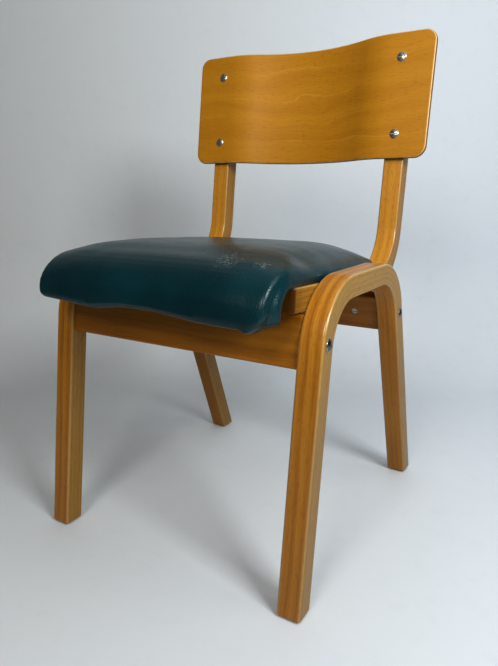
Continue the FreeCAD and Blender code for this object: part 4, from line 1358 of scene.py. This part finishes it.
@dataclass
class SeatPad:
    """The upholstered pad: vinyl over foam on a board that bends down in front.

    The pad is drawn as a flat slab whose plan runs from the back edge forward and
    down round the board's bend, and is then laid along that path.
    """

    lines: ChairLines
    half_width: float = 194.6 * MM
    flat_run: float = 312.5 * MM
    bend_radius: float = 27.0 * MM
    lip: float = 19.0 * MM
    edge: float = 17.0 * MM
    crown: float = 26.0 * MM
    crown_power: int = 6
    high_point: float = 190.0 * MM
    front_reach: float = 215.0 * MM
    back_reach: float = 123.0 * MM
    nose_heights: tuple[float, ...] = (30.5 * MM, 29.0 * MM, 31.0 * MM, 34.5 * MM, 36.5 * MM)
    evening: tuple[float, ...] = (-9.0 * MM, -3.0 * MM, 3.0 * MM, 9.0 * MM)
    end_fullness: float = 0.7
    filling_start: float = 70.0 * MM
    back_corner: float = 22.0 * MM
    front_corner: float = 14.0 * MM
    top_round: float = 4.5 * MM
    bottom_round: float = 4.0 * MM
    rim_steps: int = 4
    columns: int = 66
    rows: int = 80
    corner_steps: int = 6
    board: float = 9.0 * MM
    turned_in: float = 5.0 * MM
    lowest: float = 0.48 * MM
    underside: float = 2.4 * MM
    held_band: float = 1.5 * MM
    held_height: float = 3.0 * MM
    beside_board: float = 4.0 * MM
    board_cover: float = 0.6 * MM
    wrap: float = 0.3 * MM
    blend: float = 4.0 * MM
    wrap_start: float = 30.0 * MM
    wrap_end: float = 15.0 * MM
    slack: float = 1.2 * MM
    cap: float = 2.5 * MM
    calming: int = 24
    voxel: float = 4.5 * MM
    frames: int = 20
    quality: int = 6
    pressure: float = 4.0
    stretch: float = 25.0
    bending: float = 4.0
    pull: float = 0.55 * MM
    fine_pull: float = 0.25 * MM
    pull_reach: float = 50.0 * MM
    underside_share: float = 0.2
    pleat: float = 3.4 * MM
    pleat_height: float = 16.0 * MM
    pleat_width: float = 2.6 * MM
    pleat_band: float = 9.0 * MM
    pleat_fade: float = 7.0 * MM
    tuck: float = 6.0 * MM
    tuck_band: float = 30.0 * MM
    tuck_fade: float = 28.0 * MM
    tuck_power: float = 1.5
    tuck_rise: float = 9.0 * MM
    tuck_start: float = 4.0 * MM
    hem_start: float = 0.6
    hem_foam: float = 2.0 * MM
    hem_fade: float = 8.0 * MM
    hem: tuple[tuple[float, float], ...] = (
        (-0.194, -0.004), (-0.13, -0.001), (-0.083, 0.002), (-0.03, -0.005), (0.02, -0.005),
        (0.09, 0.001), (0.154, 0.004), (0.163, 0.0085), (0.172, 0.0035), (0.182, -0.002), (0.194, -0.008))

    @property
    def bend_length(self) -> float:
        """Length of the board's bend along its underside."""
        return self.bend_radius * RIGHT_ANGLE

    @property
    def length(self) -> float:
        """The developed length from the back edge to the bottom of the nose."""
        return self.flat_run + self.bend_length + self.lip

    def place(self, x: float, along: float, height: float) -> Vector:
        """Lay a point of the flat slab along the board's path.

        Args:
            x: The place across.
            along: The distance from the back edge.
            height: The height over the rails; near the bend the underside wraps the board closely.

        Returns:
            The point.
        """
        low = max(0.0, 1.0 - max(height - self.underside, 0.0) / self.blend)
        near_bend = smooth_step(along, self.flat_run - self.wrap_start, self.flat_run - self.wrap_end)
        height -= low * (self.underside + self.wrap) * near_bend
        if along <= self.flat_run:
            return self.lines.on_seat(x, self.flat_run - along, height)
        past = along - self.flat_run
        turn = min(past / self.bend_radius, RIGHT_ANGLE)
        drop = max(past - self.bend_length, 0.0)
        radius = self.bend_radius + height
        up = -self.bend_radius + radius * math.cos(turn) - drop
        return self.lines.on_seat(x, -radius * math.sin(turn), up)

    def spine(self, along: float) -> float:
        """Read the pad's thickness along its middle.

        Args:
            along: The distance from the back edge.

        Returns:
            The thickness, before evening out.
        """
        back = self.flat_run - along
        if back > 0:
            reach = self.back_reach if back > self.high_point else self.front_reach
            return self.edge + self.crown * (1 - abs((back - self.high_point) / reach) ** self.crown_power)
        stops = np.linspace(self.flat_run, self.flat_run + self.bend_length, len(self.nose_heights))
        return float(np.interp(along, stops, self.nose_heights))

    def rise(self, x: float, along: float) -> float:
        """Read the height of the pad's top over its side edge's thickness.

        Args:
            x: The place across.
            along: The distance from the back edge.

        Returns:
            The height.
        """
        fullness = 1.0 - abs(x / self.half_width) ** self.crown_power
        nearby = [self.spine(along + shift) for shift in self.evening]
        down_front = smooth_step(along, self.flat_run - self.filling_start, self.flat_run + self.bend_length)
        fullness += (1 - fullness) * self.end_fullness * down_front
        return (sum(nearby) / len(nearby) - self.edge) * fullness

    def slab(self, inset: float) -> RoundedSlab:
        """Draw the flat slab.

        Args:
            inset: How much smaller the foam above the board is drawn.

        Returns:
            The slab.
        """
        rim = []
        for ring_inset, height in rounded_rim(self.edge, self.top_round, self.bottom_round, self.rim_steps):
            drawn_in = ring_inset + inset * smooth_step(height, self.board, self.edge)
            rim.append((drawn_in, max(height, self.lowest)))
        rim.append((rim[-1][0] + self.turned_in, self.underside))
        return RoundedSlab(2 * self.half_width, self.length, self.back_corner, self.front_corner, rim,
                           self.columns, self.rows, self.corner_steps)

    def blown_up(self, mesh: bpy.types.Mesh) -> bpy.types.Mesh:
        """Swell a closed mesh under pressure, held at its underside.

        Args:
            mesh: The slack pad.

        Returns:
            The filled pad, in even small faces.
        """
        holder = new_object("pad_cloth", mesh)
        remesh = holder.modifiers.new("remesh", "REMESH")
        remesh.mode = "VOXEL"
        remesh.voxel_size = self.voxel
        holder = settled(holder, "pad_cloth")
        start = points_of(holder.data)
        move = self._simulated(holder, start) - start
        length = np.linalg.norm(move, axis=1, keepdims=True)
        move *= np.minimum(1.0, self.cap / np.maximum(length, 1e-9))
        move_points(holder.data, start + self._calmed(holder.data, move))
        result = holder.data
        bpy.data.objects.remove(holder)
        return result

    def _simulated(self, holder: bpy.types.Object, start: np.ndarray) -> np.ndarray:
        """Run the cloth simulation.

        Args:
            holder: The pad's object, left without its cloth.
            start: Its points.

        Returns:
            The points when it has swollen.
        """
        held = holder.vertex_groups.new(name="held")
        for index, weight in enumerate(self._hold(start)):
            if weight > 0:
                held.add([index], float(weight), "REPLACE")
        cloth = holder.modifiers.new("cloth", "CLOTH")
        settings = cloth.settings
        settings.quality = self.quality
        settings.use_pressure = True
        settings.uniform_pressure_force = self.pressure
        settings.effector_weights.gravity = 0.0
        settings.vertex_group_mass = "held"
        settings.tension_stiffness = settings.compression_stiffness = self.stretch
        settings.bending_stiffness = self.bending
        scene = bpy.context.scene
        scene.frame_start, scene.frame_end = 1, self.frames
        cloth.point_cache.frame_start, cloth.point_cache.frame_end = 1, self.frames
        for step in range(1, self.frames + 1):
            scene.frame_set(step)
        swollen = points_of(holder.evaluated_get(bpy.context.evaluated_depsgraph_get()).data)
        holder.modifiers.remove(cloth)
        scene.frame_set(1)
        return swollen

    def _calmed(self, mesh: bpy.types.Mesh, move: np.ndarray) -> np.ndarray:
        """Even a movement out between neighbours.

        Args:
            mesh: The mesh whose points move.
            move: Each point's movement.

        Returns:
            The evened movement.
        """
        edges = np.array([tuple(edge.vertices) for edge in mesh.edges])
        degree = np.bincount(edges.ravel(), minlength=len(move))[:, None]
        for _ in range(self.calming):
            gathered = np.zeros_like(move)
            np.add.at(gathered, edges[:, 0], move[edges[:, 1]])
            np.add.at(gathered, edges[:, 1], move[edges[:, 0]])
            move = (move + gathered / degree) / 2
        return move

    def _hold(self, points: np.ndarray) -> np.ndarray:
        """How firmly each point is held to the board, from 0 to 1."""
        height = self.unrolled(points)[:, 2]
        return np.clip(1.0 - (height - self.held_height) / self.blend, 0.0, 1.0)

    def unrolled(self, points: np.ndarray) -> np.ndarray:
        """Turn points back into the flat slab's places.

        Args:
            points: A row each.

        Returns:
            (across, along, height) rows.
        """
        offset = points - np.array(self.lines.seat_origin)
        back = offset @ np.array(self.lines.seat_back)
        up = offset @ np.array(self.lines.seat_up)
        radius = np.hypot(back, up + self.bend_radius)
        angle = np.arctan2(-back, up + self.bend_radius)
        flat = back >= 0
        below = (~flat) & (up < -self.bend_radius)
        along = np.where(flat, self.flat_run - back, self.flat_run + self.bend_radius * angle)
        along = np.where(below, self.flat_run + self.bend_length - (up + self.bend_radius), along)
        height = np.where(flat, up, np.where(below, -back - self.bend_radius, radius - self.bend_radius))
        return np.stack([points[:, 0], along, height], axis=1)

    def worked(self, mesh: bpy.types.Mesh) -> bpy.types.Mesh:
        """Add what a maker's hands and years of use leave: pulls, tucks and a wavy hem.

        Args:
            mesh: The filled pad.

        Returns:
            The same mesh, changed.
        """
        points = points_of(mesh)
        flat = self.unrolled(points)
        normals = np.array([vertex.normal for vertex in mesh.vertices])
        points += normals * self._pulls(flat)[:, None]
        points[:, 0] += self._tucks(flat)
        beside = (np.abs(flat[:, 0]) > self.half_width - self.beside_board) & (flat[:, 2] < self.board)
        beside &= flat[:, 2] > self.wrap
        reach = np.maximum(np.abs(points[:, 0]), self.half_width - self.board_cover)
        points[:, 0] = np.where(beside, np.sign(points[:, 0]) * reach, points[:, 0])
        points -= np.array(self.lines.seat_up) * self._hem_drop(flat)[:, None]
        move_points(mesh, points)
        return mesh

    def _pulls(self, flat: np.ndarray) -> np.ndarray:
        """Shallow unevenness of the stretched vinyl.

        Args:
            flat: (across, along, height) rows.

        Returns:
            Movements along the normals, small on the underside.
        """
        pulls = []
        for x, along, height in flat:
            near_edge = max(0.0, 1.0 - (self.half_width - abs(x)) / self.pull_reach)
            broad = noise.noise(Vector((x * 22.0, along * 22.0, height * 8.0)))
            fine = noise.noise(Vector((x * 70.0, along * 34.0, height * 60.0)) + Vector((3.1, 1.7, 9.2)))
            pull = broad * self.pull + fine * self.fine_pull * near_edge
            below = height < self.underside + self.held_band
            pulls.append(pull * self.underside_share if below else pull)
        return np.array(pulls)

    def _tucks(self, flat: np.ndarray) -> np.ndarray:
        """How far the nose's ends are drawn in: a pleat in each end, a tighter tuck at the right.

        Args:
            flat: (across, along, height) rows.

        Returns:
            Movements along X.
        """
        x, along, height = flat.T
        down = np.array([smooth_step(value, self.flat_run + self.tuck_start, self.flat_run + self.bend_length)
                         for value in along])
        at_end = np.clip((np.abs(x) - self.half_width + self.pleat_band) / self.pleat_fade, 0.0, 1.0)
        pleat = self.pleat * np.exp(-((height - self.pleat_height) / self.pleat_width) ** 2)
        corner = np.clip((x - self.half_width + self.tuck_band) / self.tuck_fade, 0.0, 1.0) ** self.tuck_power
        corner *= np.clip((height - self.board) / self.tuck_rise, 0.0, 1.0)
        return -np.sign(x) * at_end * down * pleat - corner * down * self.tuck

    def _hem_drop(self, flat: np.ndarray) -> np.ndarray:
        """How far the wavy hem hangs below an even one.

        Args:
            flat: (across, along, height) rows.

        Returns:
            Drops; where the hem rises, only the foam over the board does.
        """
        start = self.flat_run + self.bend_length * self.hem_start
        low = np.array([smooth_step(along, start, self.length) for along in flat[:, 1]])
        drop = np.interp(flat[:, 0], [x for x, _ in self.hem], [fall for _, fall in self.hem])
        foam_only = np.clip((flat[:, 2] - self.hem_foam) / self.hem_fade, 0.0, 1.0)
        return low * np.where(drop < 0, drop * foam_only, drop)

    def build(self, material: bpy.types.Material) -> None:
        """Make the pad and let it stand for the CAD cover and foam.

        Args:
            material: The vinyl.
        """
        mesh = self.slab(self.slack).mesh("seat_pad", self.place, self.rise)
        mesh = self.blown_up(mesh)
        piece = new_object("seat_pad", self.worked(mesh))
        smooth = piece.modifiers.new("smooth", "SUBSURF")
        smooth.levels = smooth.render_levels = 1
        piece = settled(piece, "seat_pad")
        for polygon in piece.data.polygons:
            polygon.use_smooth = True
        piece.data.materials.clear()
        piece.data.materials.append(material)
        finish_piece(piece, "green_vinyl", "seat_cover", "seat_foam")


@dataclass
class CoverFlaps:
    """The vinyl turned in under the seat board, with its raw edge and corner pleats."""

    lines: ChairLines
    pad: SeatPad
    border: float = 4.0 * MM
    flap: float = 42.0 * MM
    thickness: float = 1.02 * MM
    lift: float = 0.15 * MM
    pleat: float = 0.9 * MM
    pleat_reach: float = 50.0 * MM
    pleat_pitch: float = 1.9
    wander: float = 2.5 * MM
    middle: float = 150.0 * MM
    least_reach: float = 50.0 * MM
    least_radius: float = 2.0 * MM
    rings: int = 7
    around: int = 256
    corner_steps: int = 6

    def outline(self, inset: float) -> list[tuple[float, float]]:
        """Draw the seat's plan at an inset.

        Args:
            inset: How far the plan is drawn in.

        Returns:
            (x, back) places in order.
        """
        half_x = self.pad.half_width - inset
        low, high = inset, self.pad.flat_run - inset
        radius = max(self.pad.back_corner - inset, self.least_radius)
        places = []
        corners = [(half_x, low, -90), (half_x, high, 0), (-half_x, high, 90), (-half_x, low, 180)]
        for x, back, start in corners:
            centre = (x - math.copysign(radius, x), back + radius if back == low else back - radius)
            for step in range(self.corner_steps + 1):
                angle = math.radians(start + 90 * step / self.corner_steps)
                places.append((centre[0] + radius * math.cos(angle), centre[1] + radius * math.sin(angle)))
        return places

    def build(self, material: bpy.types.Material) -> None:
        """Make the flaps.

        Args:
            material: The vinyl.
        """
        shares = np.linspace(0.0, 1.0, self.rings)
        rings = [resampled(self.outline(self.border + share * (self.flap - self.border)), self.around)
                 for share in shares]
        points = [self._point(x, back, k, share, upper) for upper in (False, True)
                  for share, ring in zip(shares, rings) for k, (x, back) in enumerate(ring)]
        mesh = mesh_from(np.array([tuple(p) for p in points]), self._faces(), "cover_flaps")
        piece = evenly_shaded(new_object("cover_flaps", mesh))
        piece.data.materials.append(material)
        finish_piece(piece, "green_vinyl")

    def _point(self, x: float, back: float, step: int, share: float, upper: bool) -> Vector:
        """Place a point of the flaps, with its corner pleat and wandering edge.

        Args:
            x: The place across.
            back: The place from front to back.
            step: The point's number round its ring.
            share: From 0 at the outer edge to 1 at the raw one.
            upper: Whether it lies on the side towards the board.

        Returns:
            The point.
        """
        corner = max(0.0, 1 - self._corner_distance(x, back) / self.pleat_reach)
        pleat = (0.5 + 0.5 * math.sin(step * self.pleat_pitch)) * corner * share
        wander = noise.noise(Vector((x * 18, back * 18, 2.0))) * self.wander * (share ** 4)
        inward = 1 - wander / max(abs(x), self.least_reach)
        up = self.lift + (self.thickness if upper else -self.pleat * pleat)
        in_front = back < self.middle
        return self.lines.on_seat(x * inward, back + (wander if in_front else -wander), up)

    def _faces(self) -> list[tuple[int, ...]]:
        """List the faces of both sides and of both edges.

        Returns:
            The faces, as indices of points.
        """
        faces = []
        side = self.rings * self.around
        for k in range(self.around):
            after = (k + 1) % self.around
            for start in (0, side):
                for ring in range(self.rings - 1):
                    a, b = start + ring * self.around + k, start + ring * self.around + after
                    faces.append((a, b, b + self.around, a + self.around))
            for ring in (0, self.rings - 1):
                a, b = ring * self.around + k, ring * self.around + after
                faces.append((a, b, b + side, a + side))
        return faces

    def _corner_distance(self, x: float, back: float) -> float:
        """Distance in plan to the nearest corner of the seat."""
        corners = [(side * self.pad.half_width, end) for side in (-1, 1) for end in (0.0, self.pad.flat_run)]
        return min(math.hypot(x - cx, back - cy) for cx, cy in corners)


def resampled(places: list[tuple[float, float]], count: int) -> list[tuple[float, float]]:
    """Space places evenly round a closed outline.

    Args:
        places: The outline's corners.
        count: How many places to return.

    Returns:
        The places.
    """
    ring = np.array([*places, places[0]])
    lengths = np.concatenate([[0.0], np.cumsum(np.linalg.norm(np.diff(ring, axis=0), axis=1))])
    at = np.linspace(0.0, lengths[-1], count, endpoint=False)
    return list(zip(np.interp(at, lengths, ring[:, 0]), np.interp(at, lengths, ring[:, 1])))


def finish_piece(piece: bpy.types.Object, slot: str, *nodes: str) -> None:
    """Ride a piece on the chair's one body and hide the CAD nodes that it stands for.

    Args:
        piece: The finished piece.
        slot: The finish's name in the library; not used.
        nodes: The CAD nodes that it stands for.
    """
    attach(piece, "root")
    if nodes:
        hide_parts(*nodes)
    LOG.info("%s: %d faces", piece.name, len(piece.data.polygons))


@dataclass
class CrossRails:
    """The two solid rails and their dowels, which keep their CAD shapes."""

    tints: dict[str, float] = field(default_factory=lambda: {"front_rail": 1.0, "rear_rail": 0.9})
    dowel_tint: float = 1.1

    def dress(self, finish: RailBeech) -> None:
        """Give the rails and dowels their wood.

        Args:
            finish: The wood.
        """
        dowel_wood = finish.material("dowel_beech", self.dowel_tint)
        for node, tint in self.tints.items():
            dress_node(node, finish.material(node + "_beech", tint))
            dress_node(node + "_dowels", dowel_wood)


@dataclass
class Fixings:
    """Bolts, nuts, washers, screws, staples and glides."""

    ease: float = 0.22 * MM
    ease_steps: int = 2
    ease_angle: float = 25.0
    leg_bolts: tuple[str, ...] = ("front_rail_bolts", "rear_rail_bolts")
    sleeve_nuts: tuple[str, ...] = ("backrest_sleeve_nuts",)
    plain: tuple[str, ...] = ("backrest_bolts", "backrest_washers", "seat_bolts", "seat_washers",
                              "front_barrel_nuts", "rear_barrel_nuts")
    hidden: tuple[str, ...] = ("left_post_screws", "right_post_screws", "seat_tee_nuts", "cover_staples",
                               "glide_nails")

    def build(self) -> None:
        """Round the visible heads' edges and plate them; dress the rest."""
        nickel = Plating(MetalTone.NICKEL).material("nickel")
        zinc = Plating(MetalTone.ZINC, roughness=0.33).material("zinc")
        bronzed = Plating(MetalTone.BRONZED, roughness=0.24, rim_wear_and_highlight=0.8).material("bronzed_nickel")
        self._plate(self.leg_bolts, bronzed, "nickel_steel")
        self._plate(self.sleeve_nuts, nickel, "nickel_steel")
        self._plate(self.plain, zinc, "zinc_steel")
        for node in self.hidden:
            dress_node(node, zinc)
        plastic = Moulding().material("glide_plastic")
        for end in ("front", "rear"):
            for side in SIDES:
                dress_node(f"{end}_{side}_glide", plastic)

    def _plate(self, nodes: Sequence[str], material: bpy.types.Material, slot: str) -> None:
        """Round some nodes' edges and give them their plating.

        Args:
            nodes: The CAD nodes.
            material: The plating.
            slot: The finish's name in the library.
        """
        for node in nodes:
            piece = eased(copy_of_node(node, node + "_plated"), self.ease, self.ease_steps, self.ease_angle)
            piece.data.materials.append(material)
            finish_piece(piece, slot, node)


def dress_node(node: str, material: bpy.types.Material) -> None:
    """Give a CAD node a material in every slot.

    Args:
        node: The node's name.
        material: The material.
    """
    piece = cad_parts[node]
    if not piece.material_slots:
        piece.data.materials.append(material)
    for slot in piece.material_slots:
        slot.material = material
    LOG.info("%s: dressed as %s", node, material.name)


# ---- Studio ---------------------------------------------------------------------

@dataclass(frozen=True)
class SoftBox:
    """A soft square light and where it points."""

    name: str
    place: tuple[float, float, float]
    target: tuple[float, float, float]
    size: float
    power: float
    colour: Colour

    def hang(self) -> None:
        """Put the light in the scene."""
        lamp = bpy.data.lights.new(self.name, "AREA")
        lamp.shape = "RECTANGLE"
        lamp.size = lamp.size_y = self.size
        lamp.energy = self.power
        lamp.color = self.colour
        holder = bpy.data.objects.new(self.name, lamp)
        bpy.context.scene.collection.objects.link(holder)
        holder.location = self.place
        beam = Vector(self.target) - Vector(self.place)
        holder.rotation_euler = beam.to_track_quat("-Z", "Y").to_euler()


@dataclass
class Studio:
    """Seamless paper, soft lights and the camera."""

    eye: tuple[float, float, float] = (0.48575, -0.79934, 0.54034)
    heading: float = 30.87
    tilt: float = 13.96
    roll: float = 0.28
    lens: float = 30.09
    sensor: float = 36.0
    near_limit: float = 0.01
    paper_front: float = -4.5
    floor_join: float = -1.0
    floor_reach: float = 0.52
    curve: float = 0.38
    curve_steps: int = 24
    wall: float = 2.9
    half_width: float = 1.9
    glow: Colour = (0.86, 0.92, 1.0)
    glow_strength: float = 0.10
    backdrop: Colour = (0.50, 0.53, 0.55)
    boxes: tuple[SoftBox, ...] = (
        SoftBox("right_box", (1.35, -0.62, 1.25), (0.0, 0.0, 0.35), 0.55, 21.0, (0.92, 0.97, 1.0)),
        SoftBox("left_box", (0.30, -1.62, 1.42), (-0.05, 0.0, 0.35), 0.55, 11.5, (1.0, 0.975, 0.94)),
        SoftBox("ceiling", (0.0, -0.2, 2.6), (0.0, 0.2, 0.3), 1.8, 3.0, (0.93, 0.96, 1.0)),
        SoftBox("wall_wash", (0.85, 0.10, 1.8), (0.0, 1.05, 0.8), 0.9, 5.0, (0.94, 0.97, 1.0)))

    def paper(self, finish: Paper) -> None:
        """Hang a sheet that curves up from floor to wall behind the chair, square to the camera.

        Args:
            finish: The paper's finish.
        """
        profile = [(self.paper_front, 0.0), (self.floor_join, 0.0), (0.0, 0.0), (self.floor_reach, 0.0)]
        for step in range(1, self.curve_steps + 1):
            turn = RIGHT_ANGLE * step / self.curve_steps
            along = self.floor_reach + self.curve * math.sin(turn)
            profile.append((along, self.curve * (1 - math.cos(turn))))
        profile.append((self.floor_reach + self.curve, self.wall))
        turned = Matrix.Rotation(math.radians(self.heading), 3, "Z")
        points = [tuple(turned @ Vector((side * self.half_width, along, up)))
                  for along, up in profile for side in (-1, 1)]
        faces = [(2 * k, 2 * k + 1, 2 * k + 3, 2 * k + 2) for k in range(len(profile) - 1)]
        mesh = bpy.data.meshes.new("paper")
        mesh.from_pydata(points, [], faces)
        for polygon in mesh.polygons:
            polygon.use_smooth = True
        sheet = new_object("paper", mesh)
        mesh.materials.append(finish.material("seamless_paper", turned @ Vector((1, 0, 0))))

    def lights(self) -> None:
        """Two soft boxes in front of the chair, right and left, over the room's weak light."""
        for box in self.boxes:
            box.hang()
        world = bpy.data.worlds.new("room")
        bpy.context.scene.world = world
        world.use_nodes = True
        room = Graph(world.node_tree)
        glow = room.add("ShaderNodeBackground",
                        inputs={"Color": (*self.glow, 1.0), "Strength": self.glow_strength})
        backdrop = room.add("ShaderNodeBackground",
                            inputs={"Color": (*self.backdrop, 1.0), "Strength": 1.0})
        seen = room.add("ShaderNodeLightPath", output="Is Camera Ray")
        both = room.add("ShaderNodeMixShader", inputs={0: seen, 1: glow, 2: backdrop})
        room.add("ShaderNodeOutputWorld", inputs={"Surface": both})
        bpy.context.scene.view_settings.view_transform = "Standard"
        bpy.context.scene.view_settings.look = "Medium High Contrast"

    def camera(self) -> None:
        """The camera, level but for a slight roll."""
        yaw, pitch, roll = (math.radians(angle) for angle in (self.heading, self.tilt, self.roll))
        ahead = Vector((-math.sin(yaw) * math.cos(pitch), math.cos(yaw) * math.cos(pitch), -math.sin(pitch)))
        level = ahead.cross(Vector((0, 0, 1))).normalized()
        upright = level.cross(ahead)
        right = level * math.cos(roll) + upright * math.sin(roll)
        up = upright * math.cos(roll) - level * math.sin(roll)
        data = bpy.data.cameras.new("camera")
        data.lens = self.lens
        data.sensor_width = self.sensor
        data.sensor_fit = "AUTO"
        data.clip_start = self.near_limit
        holder = bpy.data.objects.new("camera", data)
        bpy.context.scene.collection.objects.link(holder)
        turned = Matrix((right, up, -ahead)).transposed().to_4x4()
        holder.matrix_world = Matrix.Translation(self.eye) @ turned
        bpy.context.scene.camera = holder


def main() -> None:
    """Build the chair's looks in order."""
    logging.basicConfig(level=logging.INFO, format="%(message)s")
    lines = ChairLines()
    recipe = bar_recipe()
    LegFrames().build(recipe, BentBeech())
    # Paler beech for the posts; their front ends take the end-grain colour and a painted shade under the
    # seat's nose.
    pale_beech = BentBeech(light=(0.56, 0.26, 0.030), amber=(0.50, 0.218, 0.020), streak=(0.40, 0.16, 0.010),
                           edge_light=(0.34, 0.165, 0.022), edge_dark=(0.23, 0.10, 0.010), end_grain_and_shade=1.0)
    BackPosts(lines).build(recipe, pale_beech)
    CrossRails().dress(RailBeech())
    backrest = Backrest(lines)
    backrest.build(FacedPly(backrest.thickness))
    scuffs = (Scuff(0.108, -0.213, 0.030), Scuff(0.158, -0.220, 0.014))
    vinyl = Vinyl().material("seat_vinyl", scuffs)
    pad = SeatPad(lines)
    pad.build(vinyl)
    CoverFlaps(lines, pad).build(vinyl)
    dress_node("seat_board", RawPly().material("seat_board_ply"))
    Fixings().build()
    studio = Studio()
    studio.paper(Paper())
    studio.lights()
    studio.camera()


if __name__ == "__main__":
    main()
